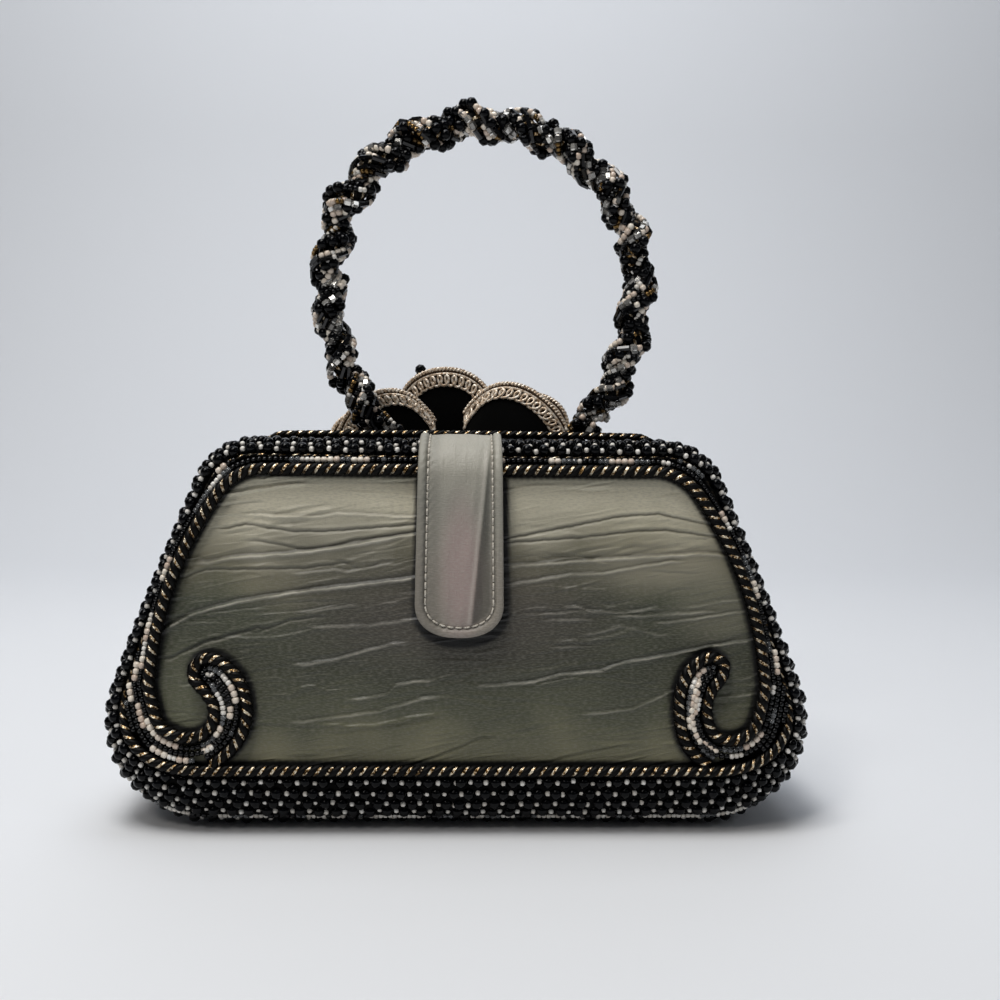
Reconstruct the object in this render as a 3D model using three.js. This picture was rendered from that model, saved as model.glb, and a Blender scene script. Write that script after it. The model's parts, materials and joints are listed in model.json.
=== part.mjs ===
// A rigid evening handbag: a rounded trapezoid body of beaded bands round two silk panels,
// twisted cords, two scrolls, a closure tab, a ring handle and a flower on the far side.
// Units are millimetres. +X is the right of the tab side, +Y runs from the tab side to the
// flower side, +Z is up, and the origin is on the flat base, under the middle of the bag.

import * as THREE from 'three';

// Body seen from the front. Each outline has two corner circles on the right half, joined by
// a side arc that touches both, and is mirrored to the left.
const EDGE_OUTLINE = {
  lower: { x: 80.2, z: 33.4, r: 33.4 },
  upper: { x: 67.6, z: 104.3, r: 20 },
  sideRadius: 3000,
};
const ROPE_OUTLINE = {
  lower: { x: 70.8, z: 47.1, r: 26 },
  upper: { x: 62.4, z: 97.6, r: 17 },
  sideRadius: 110,
};
const OUTLINE_STEPS = { base: 3, lower: 6, side: 4, upper: 5, top: 3 };

// Body seen from the side: both faces lean towards each other at the top.
const FACE_SETBACK = 34;
const FACE_LEAN = 0.14;
const FACE_CROWN = 3.5;
const CROWN_HALF_WIDTH = { bottom: 101, top: 70 };
const FLANK_HALF_DEPTH = { bottom: 20, top: 8 };

// Gaps and the split between the two beaded bands, which opens into the mouth at the top.
const GAP = 0.35;
const SPLIT_Y = -3.5;
const MOUTH_WIDTH = 5.6;
const MOUTH_HALF_LENGTH = 64;
const MOUTH_TAPER = 12;

// Beaded bands, measured inwards from the tops of the beads.
const BAND_WALL = 5.6;
const BAND_LEDGE = 4.2;
const BAND_END = { front: 5.3, back: 6.9 };
const BEAD_ARC_STEPS = 4;
const INNER_ARC_STEPS = 3;

// Cords.
const ROPE_RADIUS = 2.2;
const RING_CORD_RADIUS = 1.8;
const FRONT_RING_CORD_ANGLE = { base: 90, side: 49 };
const BACK_RING_CORD_ANGLE = { base: 64, side: 49 };
const RING_CORD_CLEARANCE_ANGLE = 12;
const MOUTH_CORD = { radius: 1.5, y: 1, halfLength: 60, bow: 0.6, steps: 4 };
const ROPE_CLEARANCE = 0.5;
const ROPE_STAND = ROPE_RADIUS * 2 + ROPE_CLEARANCE;
const TUBE_SIDES = 8;

// Silk panels.
const PANEL_WALL = 2;
const PANEL_TUCK = 1.5;
const FRONT_PANEL_COLUMNS = 36;
const BACK_PANEL_COLUMNS = 10;
const INNER_PANEL_COLUMNS = 6;

// Main creases of the silk, as straight ridges (height above zero) and valleys (below zero).
const CREASES = [
  { x0: -95, z0: 60.7, x1: -69.7, z1: 72, height: 1.1, width: 3.4 },
  { x0: -69.7, z0: 72, x1: -12, z1: 79.8, height: 1.2, width: 3.4 },
  { x0: -78, z0: 84.5, x1: -12.6, z1: 93.5, height: 0.9, width: 3 },
  { x0: -72.7, z0: 95.3, x1: -12.6, z1: 97, height: -0.7, width: 2.6 },
  { x0: -88.6, z0: 55.2, x1: -62.3, z1: 64.3, height: -0.7, width: 3 },
  { x0: -46, z0: 53, x1: -18.6, z1: 59.5, height: 0.7, width: 3 },
  { x0: -46, z0: 36, x1: -8, z1: 43, height: 0.6, width: 3 },
  { x0: 15.5, z0: 92, x1: 52, z1: 99.2, height: -0.9, width: 2.6 },
  { x0: 52, z0: 99.2, x1: 80, z1: 96.3, height: -0.7, width: 2.6 },
  { x0: 15.5, z0: 83, x1: 78.6, z1: 87.2, height: 0.8, width: 3 },
  { x0: 15.5, z0: 77.2, x1: 67.7, z1: 82.5, height: -0.6, width: 2.6 },
  { x0: 54, z0: 67.9, x1: 92.5, z1: 69.5, height: 0.7, width: 3 },
  { x0: 12, z0: 46.6, x1: 52.5, z1: 53.7, height: 1, width: 3.4 },
  { x0: 52.5, z0: 53.7, x1: 94.7, z1: 60.7, height: 1, width: 3.4 },
  { x0: 43.7, z0: 38.2, x1: 67.5, z1: 44.8, height: 0.6, width: 3 },
];
const CREASE_END_TAPER = 8;
const CREASE_FADE = { rows: 3, sideShare: 0.125 };

// Scroll at each lower corner, along the rope from its root on the base cord, up the inner edge,
// round the tip and back to the side of the panel. The left one's distances run to the left.
const RIGHT_SCROLL = [
  { x: 75, z: 26.4 },
  { x: 72.2, z: 28.6 },
  { x: 70.5, z: 32 },
  { x: 69.5, z: 37.5 },
  { x: 69.5, z: 43.5 },
  { x: 71, z: 49.4 },
  { x: 74.2, z: 53.8 },
  { x: 79.4, z: 56.4 },
  { x: 83.6, z: 54.4 },
  { x: 83, z: 50.2 },
  { x: 79.9, z: 46.4 },
  { x: 78.2, z: 42 },
  { x: 78.3, z: 37 },
  { x: 80.2, z: 32.6 },
  { x: 84.2, z: 30.6 },
  { x: 89.4, z: 31.2 },
  { x: 93.8, z: 35.2 },
];
const LEFT_SCROLL = [
  { x: 72.9, z: 26.4 },
  { x: 69.7, z: 28.8 },
  { x: 67.4, z: 32.4 },
  { x: 66, z: 37.5 },
  { x: 66.2, z: 42.6 },
  { x: 67.6, z: 47.4 },
  { x: 70.6, z: 51.6 },
  { x: 75.4, z: 55 },
  { x: 80.3, z: 55.2 },
  { x: 82.9, z: 51.8 },
  { x: 81.9, z: 48.2 },
  { x: 79, z: 45.4 },
  { x: 76.4, z: 41.2 },
  { x: 76.3, z: 36.4 },
  { x: 79.3, z: 32.4 },
  { x: 84, z: 31 },
  { x: 89.2, z: 32.2 },
  { x: 93.5, z: 35.6 },
];
const SCROLL_JOIN_Z = 46;
const SCROLL_STEPS = 23;

// Closure tab: the middle of its wall from the inner end, over the front rim and down the face.
const TAB_ROUTE = [
  { y: -4.3, z: 98 },
  { y: -4.3, z: 120.5 },
  { y: -4.9, z: 124.6 },
  { y: -8.2, z: 126 },
  { y: -12.5, z: 125.3 },
  { y: -17, z: 123.5 },
  { y: -21.4, z: 120.6 },
  { y: -24.6, z: 115.6 },
  { y: -26, z: 110.5 },
  { y: -27.6, z: 100 },
  { y: -29.9, z: 85 },
  { y: -31.6, z: 70 },
  { y: -32.4, z: 62.8 },
];
const TAB_WIDTH = { top: 26.7, bottom: 27.8 };
const TAB_WALL = 1.5;
const TAB_BINDING = { width: 2.6, wall: 2.3, leastShare: 0.5, slopeShare: 0.9 };
const TAB_END = { depth: 11, tipShare: 0.28 };
const TAB_STEPS = 27;
const SNAP = { radius: 6, wall: 1.5, y: -29.1, z: 72, sides: 20 };

// Ring handle: a half circle on two legs that lean in. One thick bundle of strands winds round it.
const HANDLE = { x: 7.2, y: 9.5, z: 178.2, radius: 52.9, legRadius: 79.8, legDrop: 47 };
const HANDLE_BUNDLE = { radius: 4.8, sway: 2.5, turnLength: 18, steps: 96, sides: 8 };
const HANDLE_TANGENT_STEP = 0.002;
const FOOT = {
  halfLength: 8,
  halfDepth: 6,
  baseZ: 124.7,
  baseInset: 3.6,
  neck: 5.8,
  waistShare: 0.55,
  sides: 12,
};

// Flower on the far face, built in its own plane: a row for each petal.
const FLOWER = { x: -4, y: 28, z: 112.6, tilt: 10 };
const PETAL_ROOT = 6.5;
const PETAL_SHOULDER = 15;
const PETAL_WALL = 1.2;
const TRIM = { inner: 0.81, wall: 2 };
const PETAL_OUTER_SHARE = 0.795;
const PETAL_ROOT_SHARE = 0.2;
const PETAL_STEPS = { round: 8, out: 3 };
const PETALS = [
  { angle: 45, aside: 13.4, reach: 33, width: 42, rise: 0, cup: 5 },
  { angle: 135, aside: -12.4, reach: 32, width: 37, rise: 0, cup: 5 },
  { angle: 233, aside: -2, reach: 36, width: 32, rise: -0.9, cup: 5 },
  { angle: 317, aside: 3, reach: 36, width: 35, rise: 0, cup: 5 },
  { angle: 97, aside: 0, reach: 36, width: 35, rise: 10.6, cup: 5 },
  { angle: 27, aside: 6, reach: 41, width: 30, rise: 12.6, cup: 5 },
  { angle: 272, aside: 0, reach: 33, width: 36, rise: 9.5, cup: 5 },
  { angle: 165, aside: -6, reach: 40, width: 30, rise: 9.5, cup: 5 },
];
const PETAL_TWIST = 0.2;
const PETAL_SWEEP = 1.2;
const FLOWER_CENTRE = [
  { rise: -3, radius: 4.6 },
  { rise: 12, radius: 4.6 },
  { rise: 16, radius: 4 },
  { rise: 18.5, radius: 2 },
];
const FLOWER_CENTRE_SIDES = 12;
const STAMEN = { radius: 1.2, rootRise: 20, tip: { x: -13, z: 37.5, rise: 21 }, bow: 5, steps: 6 };

// Looks.
const BEADWORK = { color: 0x14151a, roughness: 0.25, metalness: 0.1 };
const CORD = { color: 0x1b1815, roughness: 0.55, metalness: 0.25 };
const SILK = { color: 0x6f6f5e, roughness: 0.5, metalness: 0.1 };
const TAB_SILK = { color: 0x858374, roughness: 0.5, metalness: 0.1 };
const PETAL_CLOTH = { color: 0x17130f, roughness: 0.8, metalness: 0 };
const TRIM_GIMP = { color: 0x8a7968, roughness: 0.5, metalness: 0.3 };
const SNAP_STEEL = { color: 0x8d8d8d, roughness: 0.35, metalness: 0.9 };

// Sides of the bag along Y.
const FRONT = -1;
const BACK = 1;

const bag = new THREE.Group();

function addPiece(name, geometry, look) {
  const mesh = new THREE.Mesh(geometry, new THREE.MeshStandardMaterial(look));
  mesh.name = name;
  bag.add(mesh);
  return mesh;
}

function smooth(share) {
  const t = THREE.MathUtils.clamp(share, 0, 1);
  return t * t * (3 - 2 * t);
}

// Surfaces

// Triangles of a flat or nearly flat ring, as corners of that ring.
function capTriangles(ring) {
  const middle = new THREE.Vector3();
  ring.forEach((p) => middle.addScaledVector(p, 1 / ring.length));
  const normal = new THREE.Vector3();
  ring.forEach((p, i) => {
    const next = ring[(i + 1) % ring.length];
    normal.add(p.clone().sub(middle).cross(next.clone().sub(middle)));
  });
  normal.normalize();
  const across = ring[0].clone().sub(middle).projectOnPlane(normal).normalize();
  const up = normal.clone().cross(across);
  const flat = ring.map((p) => {
    const arm = p.clone().sub(middle);
    return new THREE.Vector2(arm.dot(across), arm.dot(up));
  });
  return THREE.ShapeUtils.triangulateShape(flat, []);
}

function volumeOf(points, triangles) {
  return triangles.reduce((sum, [a, b, c]) => {
    const cross = points[b].clone().cross(points[c]);
    return sum + points[a].dot(cross) / 6;
  }, 0);
}

// Closed solid through rings of equal length. An open run of rings is capped at both ends.
function loft(rings, isLoop = false) {
  const count = rings[0].length;
  const points = rings.flat();
  const triangles = [];
  const spans = isLoop ? rings.length : rings.length - 1;
  for (let i = 0; i < spans; i += 1) {
    const here = i * count;
    const next = ((i + 1) % rings.length) * count;
    for (let j = 0; j < count; j += 1) {
      const k = (j + 1) % count;
      triangles.push([here + j, here + k, next + k], [here + j, next + k, next + j]);
    }
  }
  if (!isLoop) {
    const last = (rings.length - 1) * count;
    capTriangles(rings[0]).forEach(([a, b, c]) => triangles.push([c, b, a]));
    capTriangles(rings.at(-1)).forEach(([a, b, c]) => triangles.push([last + a, last + b, last + c]));
  }
  const facesIn = volumeOf(points, triangles) < 0;
  const order = facesIn ? triangles.map(([a, b, c]) => [a, c, b]) : triangles;
  const geometry = new THREE.BufferGeometry();
  geometry.setFromPoints(points);
  geometry.setIndex(order.flat());
  geometry.computeVertexNormals();
  return geometry;
}

// Two directions square to a tangent. The first one leans to the guide.
function crossAxes(tangent, guide) {
  const along = tangent.clone().normalize();
  const first = guide.clone().projectOnPlane(along).normalize();
  return { first, second: along.clone().cross(first) };
}

// Ring of an ellipse about a point, square to a tangent, with its first axis to the guide.
function ellipseRing(centre, tangent, guide, halfFirst, halfSecond, sides) {
  const { first, second } = crossAxes(tangent, guide);
  return Array.from({ length: sides }, (_, j) => {
    const angle = (j / sides) * Math.PI * 2;
    const a = halfFirst * Math.cos(angle);
    const b = halfSecond * Math.sin(angle);
    return centre.clone().addScaledVector(first, a).addScaledVector(second, b);
  });
}

// Tube of one radius through listed points, on a face that looks along Y.
function tube(points, radius, isLoop) {
  const guide = new THREE.Vector3(0, 1, 0);
  const last = points.length - 1;
  const rings = points.map((point, i) => {
    const before = points[i > 0 ? i - 1 : isLoop ? last : 0];
    const after = points[i < last ? i + 1 : isLoop ? 0 : last];
    return ellipseRing(point, after.clone().sub(before), guide, radius, radius, TUBE_SIDES);
  });
  return loft(rings, isLoop);
}

// Outlines

function arcPoints(circle, from, to, steps, stretch) {
  return Array.from({ length: steps }, (_, i) => {
    const u = (i + 1) / steps;
    const angle = from + (to - from) * u;
    const x = circle.x + circle.r * Math.cos(angle);
    const z = circle.z + circle.r * Math.sin(angle);
    return { x, z, stretch, u };
  });
}

// Right half of an outline, from the middle of the base to the middle of the top.
function halfOutline({ lower, upper, sideRadius }) {
  const reachLower = sideRadius - lower.r;
  const reachUpper = sideRadius - upper.r;
  const spanX = upper.x - lower.x;
  const spanZ = upper.z - lower.z;
  const span = Math.hypot(spanX, spanZ);
  const along = (reachLower ** 2 - reachUpper ** 2 + span ** 2) / (2 * span);
  const off = Math.sqrt(reachLower ** 2 - along ** 2);
  const side = {
    x: lower.x + (spanX * along - spanZ * off) / span,
    z: lower.z + (spanZ * along + spanX * off) / span,
    r: sideRadius,
  };
  const lowerAngle = Math.atan2(lower.z - side.z, lower.x - side.x);
  const upperAngle = Math.atan2(upper.z - side.z, upper.x - side.x);
  const steps = OUTLINE_STEPS;
  const base = Array.from({ length: steps.base + 1 }, (_, i) => {
    const u = i / steps.base;
    return { x: lower.x * u, z: lower.z - lower.r, stretch: 'base', u };
  });
  const top = Array.from({ length: steps.top }, (_, i) => {
    const u = (i + 1) / steps.top;
    return { x: upper.x * (1 - u), z: upper.z + upper.r, stretch: 'top', u };
  });
  return [
    ...base,
    ...arcPoints(lower, -Math.PI / 2, lowerAngle, steps.lower, 'lower'),
    ...arcPoints(side, lowerAngle, upperAngle, steps.side, 'side'),
    ...arcPoints(upper, upperAngle, Math.PI / 2, steps.upper, 'upper'),
    ...top,
  ];
}

function grown({ lower, upper, sideRadius }, by) {
  return {
    lower: { ...lower, r: lower.r + by },
    upper: { ...upper, r: upper.r + by },
    sideRadius: sideRadius + by,
  };
}

// Whole outline, up the right half and down the left one.
function wholeOutline(outline) {
  const right = halfOutline(outline);
  const left = right.slice(1, -1).reverse().map((p) => ({ ...p, x: -p.x }));
  return [...right, ...left];
}

const EDGE = wholeOutline(EDGE_OUTLINE);
const BORDER = wholeOutline(ROPE_OUTLINE);
const BODY_TOP = EDGE_OUTLINE.upper.z + EDGE_OUTLINE.upper.r;
const PANEL_BOTTOM = ROPE_OUTLINE.lower.z - ROPE_OUTLINE.lower.r;
const PANEL_TOP = ROPE_OUTLINE.upper.z + ROPE_OUTLINE.upper.r;

// Faces

// Half depth of the flat face at a height, without its crown.
function faceDepth(z) {
  return FACE_SETBACK - FACE_LEAN * z;
}

function crown(x, z) {
  const share = (z - PANEL_BOTTOM) / (PANEL_TOP - PANEL_BOTTOM);
  const half = THREE.MathUtils.lerp(CROWN_HALF_WIDTH.bottom, CROWN_HALF_WIDTH.top, share);
  const across = Math.max(0, 1 - (x / half) ** 2);
  const upright = Math.max(0, 1 - (2 * share - 1) ** 2);
  return FACE_CROWN * across * upright;
}

function creaseRelief(x, z) {
  return CREASES.reduce((sum, { x0, z0, x1, z1, height, width }) => {
    const length = Math.hypot(x1 - x0, z1 - z0);
    const along = ((x - x0) * (x1 - x0) + (z - z0) * (z1 - z0)) / length;
    const off = ((x - x0) * (z1 - z0) - (z - z0) * (x1 - x0)) / length;
    const inside = Math.min(along, length - along) / CREASE_END_TAPER + 1;
    return sum + height * Math.exp(-((off / width) ** 2)) * smooth(inside);
  }, 0);
}

// Silk wall between the panel's left and right edges, a ring of front and back points per row.
function panel(side, columns, relief) {
  const rows = halfOutline(grown(ROPE_OUTLINE, PANEL_TUCK)).filter(
    (p, i, all) => i >= OUTLINE_STEPS.base && i < all.length - OUTLINE_STEPS.top,
  );
  const last = rows.length - 1;
  const rings = rows.map((row, i) => {
    const edgeFade = smooth(Math.min(i, last - i) / CREASE_FADE.rows);
    const at = (share, wall) => {
      const x = row.x * (2 * share - 1);
      const sideFade = smooth(Math.min(share, 1 - share) / CREASE_FADE.sideShare);
      const lift = crown(x, row.z) + relief(x, row.z) * edgeFade * sideFade;
      return new THREE.Vector3(x, side * (faceDepth(row.z) + lift - wall), row.z);
    };
    const front = Array.from({ length: columns + 1 }, (_, j) => at(j / columns, 0));
    const back = Array.from({ length: INNER_PANEL_COLUMNS + 1 }, (_, j) => {
      const x = row.x * (1 - (2 * j) / INNER_PANEL_COLUMNS);
      const depth = faceDepth(row.z) + crown(x, row.z) - PANEL_WALL;
      return new THREE.Vector3(x, side * depth, row.z);
    });
    return [...front, ...back];
  });
  return loft(rings);
}

// Beaded bands

function flankDepth(z) {
  return THREE.MathUtils.lerp(FLANK_HALF_DEPTH.bottom, FLANK_HALF_DEPTH.top, z / BODY_TOP);
}

// Quarter ellipse from the flank (0 degrees) to the front of the border cord (90 degrees) at
// one station of the outline, set inwards by a depth.
function shoulderPoint(side, i, degrees, depth) {
  const edge = EDGE[i];
  const border = BORDER[i];
  const inX = border.x - edge.x;
  const inZ = border.z - edge.z;
  const inset = Math.hypot(inX, inZ);
  const flank = flankDepth(edge.z);
  const reach = faceDepth(border.z) + ROPE_STAND - flank;
  const angle = THREE.MathUtils.degToRad(degrees);
  const normalIn = Math.cos(angle) / inset;
  const normalY = Math.sin(angle) / reach;
  const normal = Math.hypot(normalIn, normalY);
  const inward = inset * (1 - Math.cos(angle)) + (depth * normalIn) / normal;
  const y = flank + reach * Math.sin(angle) - (depth * normalY) / normal;
  const share = inward / inset;
  return new THREE.Vector3(edge.x + inX * share, side * y, edge.z + inZ * share);
}

// Point of the band's inner edge beside the panel, at a depth behind the border cord's front.
function bandEnd(side, i, depth) {
  const edge = EDGE[i];
  const border = BORDER[i];
  const inset = Math.hypot(border.x - edge.x, border.z - edge.z);
  const share = 1 - (PANEL_TUCK + GAP) / inset;
  const y = faceDepth(border.z) + ROPE_STAND - depth;
  const x = THREE.MathUtils.lerp(edge.x, border.x, share);
  const z = THREE.MathUtils.lerp(edge.z, border.z, share);
  return new THREE.Vector3(x, side * y, z);
}

// Where the ring cord lies on the shoulder: it drops to the panel's edge along the base.
function ringCordAngle(side, { stretch, u }) {
  const angle = side === FRONT ? FRONT_RING_CORD_ANGLE : BACK_RING_CORD_ANGLE;
  if (stretch === 'base') {
    return angle.base;
  }
  return stretch === 'lower' ? THREE.MathUtils.lerp(angle.base, angle.side, smooth(u)) : angle.side;
}

// Half width of the gap between the bands: a hair line, opening to the mouth along the top.
function splitHalfWidth({ x, stretch }) {
  const isTop = stretch === 'top' || stretch === 'upper';
  const open = isTop ? smooth((MOUTH_HALF_LENGTH - Math.abs(x)) / MOUTH_TAPER) : 0;
  return THREE.MathUtils.lerp(GAP, MOUTH_WIDTH, open) / 2;
}

function bandRing(side, i) {
  const station = EDGE[i];
  const beadEnd = ringCordAngle(side, station) - RING_CORD_CLEARANCE_ANGLE;
  const splitY = SPLIT_Y + side * splitHalfWidth(station);
  const outerFlank = shoulderPoint(side, i, 0, 0);
  const innerFlank = shoulderPoint(side, i, 0, BAND_WALL);
  const beads = Array.from({ length: BEAD_ARC_STEPS + 1 }, (_, j) => {
    return shoulderPoint(side, i, (beadEnd * j) / BEAD_ARC_STEPS, 0);
  });
  const inner = Array.from({ length: INNER_ARC_STEPS }, (_, j) => {
    return shoulderPoint(side, i, beadEnd * (1 - (j + 1) / INNER_ARC_STEPS), BAND_WALL);
  });
  return [
    outerFlank.clone().setY(splitY),
    ...beads,
    shoulderPoint(side, i, beadEnd, BAND_LEDGE),
    bandEnd(side, i, BAND_END.front),
    bandEnd(side, i, BAND_END.back),
    ...inner,
    innerFlank.clone().setY(splitY),
  ];
}

function band(side) {
  return loft(EDGE.map((_, i) => bandRing(side, i)), true);
}

// Cords

function ringCord(side) {
  const points = EDGE.map((station, i) => {
    return shoulderPoint(side, i, ringCordAngle(side, station), RING_CORD_RADIUS);
  });
  return tube(points, RING_CORD_RADIUS, true);
}

// Middle of a cord that lies on a face, lifted over the creases of the front one.
function onFace(side, { x, z }) {
  const ridge = side === FRONT ? Math.max(0, creaseRelief(x, z)) : 0;
  return new THREE.Vector3(x, side * (faceDepth(z) + crown(x, z) + ridge + ROPE_RADIUS + GAP), z);
}

// Inner cord of the front: from one scroll's root, round the panel, to the other's root.
function scrolledCord(side) {
  const rightSide = BORDER.slice(0, BORDER.length / 2).filter((p) => p.z > SCROLL_JOIN_Z && p.x > 0);
  const half = (scroll, way) => {
    const mirrored = ({ x, z }) => onFace(side, { x: way * x, z });
    const curve = new THREE.CatmullRomCurve3(scroll.map(mirrored));
    return [...curve.getSpacedPoints(SCROLL_STEPS), ...rightSide.map(mirrored)];
  };
  const middle = onFace(side, { x: 0, z: PANEL_TOP });
  return tube([...half(RIGHT_SCROLL, 1), middle, ...half(LEFT_SCROLL, -1).reverse()], ROPE_RADIUS, false);
}

function plainCord(side) {
  return tube(BORDER.map((p) => onFace(side, p)), ROPE_RADIUS, true);
}

function mouthCord() {
  const { radius, y, halfLength, bow, steps } = MOUTH_CORD;
  const z = BODY_TOP + GAP + radius;
  const points = Array.from({ length: steps + 1 }, (_, i) => {
    const across = (2 * i) / steps - 1;
    return new THREE.Vector3(halfLength * across, y, z + bow * (1 - across * across));
  });
  return tube(points, radius, false);
}

// Closure tab

// Wall with a thicker bound edge, swept along the route. Its free end is a half ellipse.
function closureTab() {
  const route = new THREE.CatmullRomCurve3(TAB_ROUTE.map(({ y, z }) => new THREE.Vector3(0, y, z)));
  const length = route.getLength();
  const rings = Array.from({ length: TAB_STEPS + 1 }, (_, i) => {
    const share = i / TAB_STEPS;
    const centre = route.getPointAt(share);
    const tangent = route.getTangentAt(share);
    const outward = new THREE.Vector3(0, -tangent.z, tangent.y).negate();
    const toEnd = Math.min(1, (length * (1 - share)) / TAB_END.depth);
    const roundEnd = Math.max(TAB_END.tipShare, Math.sqrt(1 - (1 - toEnd) ** 2));
    const half = (THREE.MathUtils.lerp(TAB_WIDTH.top, TAB_WIDTH.bottom, share) / 2) * roundEnd;
    const inner = Math.max(half * TAB_BINDING.leastShare, half - TAB_BINDING.width);
    const slope = inner * TAB_BINDING.slopeShare;
    const section = [
      { x: -half, wall: TAB_BINDING.wall },
      { x: -inner, wall: TAB_BINDING.wall },
      { x: -slope, wall: TAB_WALL },
      { x: slope, wall: TAB_WALL },
      { x: inner, wall: TAB_BINDING.wall },
      { x: half, wall: TAB_BINDING.wall },
    ];
    const place = (x, rise) => centre.clone().addScaledVector(outward, rise).setX(x);
    const outer = section.map(({ x, wall }) => place(x, wall - TAB_WALL / 2));
    const back = section.map(({ x }) => place(-x, -TAB_WALL / 2));
    return [...outer, ...back];
  });
  return loft(rings);
}

// Plain hidden snap between the tab and the panel.
function addSnap() {
  const disc = new THREE.CylinderGeometry(SNAP.radius, SNAP.radius, SNAP.wall, SNAP.sides);
  const snap = addPiece('tab_snap', disc, SNAP_STEEL);
  snap.position.set(0, SNAP.y, SNAP.z);
  snap.rotation.x = -Math.atan(FACE_LEAN);
}

// Handle

function handlePoint(share) {
  const { x, y, z, radius, legRadius, legDrop } = HANDLE;
  const legAngle = Math.asin(legDrop / legRadius);
  const legLength = legRadius * legAngle;
  const archLength = radius * Math.PI;
  const along = share * (2 * legLength + archLength);
  if (along > legLength && along < legLength + archLength) {
    const angle = (along - legLength) / radius;
    return new THREE.Vector3(x + radius * Math.cos(angle), y, z + radius * Math.sin(angle));
  }
  const isRight = along <= legLength;
  const down = isRight ? legLength - along : along - legLength - archLength;
  const angle = down / legRadius;
  const out = radius - legRadius * (1 - Math.cos(angle));
  return new THREE.Vector3(x + (isRight ? out : -out), y, z - legRadius * Math.sin(angle));
}

function handleLength() {
  const { radius, legRadius, legDrop } = HANDLE;
  return 2 * legRadius * Math.asin(legDrop / legRadius) + radius * Math.PI;
}

function handleTangent(share) {
  const before = handlePoint(Math.max(0, share - HANDLE_TANGENT_STEP));
  return handlePoint(Math.min(1, share + HANDLE_TANGENT_STEP)).sub(before).normalize();
}

// The bundle's middle sways round the ring's line once in each turn.
function handleRing() {
  const { radius, sway, turnLength, steps, sides } = HANDLE_BUNDLE;
  const turns = handleLength() / turnLength;
  const guide = new THREE.Vector3(0, 1, 0);
  const rings = Array.from({ length: steps + 1 }, (_, i) => {
    const share = i / steps;
    const turn = share * turns * Math.PI * 2;
    const tangent = handleTangent(share);
    const { first, second } = crossAxes(tangent, guide);
    const middle = handlePoint(share);
    middle.addScaledVector(first, sway * Math.cos(turn)).addScaledVector(second, sway * Math.sin(turn));
    return ellipseRing(middle, tangent, guide, radius, radius, sides);
  });
  return loft(rings);
}

// Flared end of the strands: a flat oval on the rim, rising into the end of the handle.
function handleFoot(share) {
  const { halfLength, halfDepth, baseZ, baseInset, neck, waistShare, sides } = FOOT;
  const guide = new THREE.Vector3(0, 1, 0);
  const end = handlePoint(share);
  const out = handleTangent(share).multiplyScalar(share === 0 ? -1 : 1);
  const top = end.clone().addScaledVector(out, GAP);
  const inwards = Math.sign(HANDLE.x - end.x);
  const base = new THREE.Vector3(end.x + inwards * baseInset, end.y, baseZ);
  const down = new THREE.Vector3(0, 0, -1);
  const middle = top.clone().lerp(base, waistShare);
  const slant = out.clone().lerp(down, waistShare).normalize();
  return loft([
    ellipseRing(top, out, guide, neck, neck, sides),
    ellipseRing(middle, slant, guide, neck, (neck + halfLength) / 2, sides),
    ellipseRing(base, down, guide, halfDepth, halfLength, sides),
  ]);
}

// Flower

// Point of the flower's own plane: across, up and out of the plane.
function flowerPoint(across, up, rise) {
  const tilt = THREE.MathUtils.degToRad(FLOWER.tilt);
  const y = FLOWER.y - up * Math.sin(tilt) + rise * Math.cos(tilt);
  const z = FLOWER.z + up * Math.cos(tilt) + rise * Math.sin(tilt);
  return new THREE.Vector3(FLOWER.x + across, y, z);
}

// Point of a petal: round is 0 to 1 along its arched rim, out is 0 to 1 from root to rim.
function petalPoint({ angle, aside, reach, width, rise, cup }, round, out, wall) {
  const turn = Math.PI * (0.5 + PETAL_SWEEP * (round - 0.5));
  const rimAside = (width / 2) * Math.cos(turn);
  const rimOut = PETAL_SHOULDER + (reach - PETAL_SHOULDER) * Math.sin(turn);
  const heading = THREE.MathUtils.degToRad(angle);
  const radial = THREE.MathUtils.lerp(PETAL_ROOT, rimOut, out);
  const across = aside * out + radial * Math.cos(heading) - rimAside * out * Math.sin(heading);
  const up = radial * Math.sin(heading) + rimAside * out * Math.cos(heading);
  const lift = rise + cup * out * out + PETAL_TWIST * rimAside * out + wall;
  return flowerPoint(across, up, lift);
}

// Part of a petal's wall between two shares of the way out.
function petalWall(petal, from, to, outSteps, wall) {
  const rings = Array.from({ length: PETAL_STEPS.round + 1 }, (_, i) => {
    const round = i / PETAL_STEPS.round;
    const shares = Array.from({ length: outSteps + 1 }, (_unused, j) => from + ((to - from) * j) / outSteps);
    const face = shares.map((share) => petalPoint(petal, round, share, wall / 2));
    const back = shares.map((share) => petalPoint(petal, round, share, -wall / 2)).reverse();
    return [...face, ...back];
  });
  return loft(rings);
}

function flowerCentre() {
  const rings = FLOWER_CENTRE.map(({ rise, radius }) => {
    return Array.from({ length: FLOWER_CENTRE_SIDES }, (_, j) => {
      const angle = (j / FLOWER_CENTRE_SIDES) * Math.PI * 2;
      return flowerPoint(radius * Math.cos(angle), radius * Math.sin(angle), rise);
    });
  });
  return loft(rings);
}

function stamen() {
  const { radius, rootRise, tip, bow, steps } = STAMEN;
  const points = Array.from({ length: steps + 1 }, (_, i) => {
    const share = i / steps;
    const rise = THREE.MathUtils.lerp(rootRise, tip.rise, share) + bow * share * (1 - share);
    return flowerPoint(tip.x * share, tip.z * share, rise);
  });
  return tube(points, radius, false);
}

// Assembly

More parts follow.
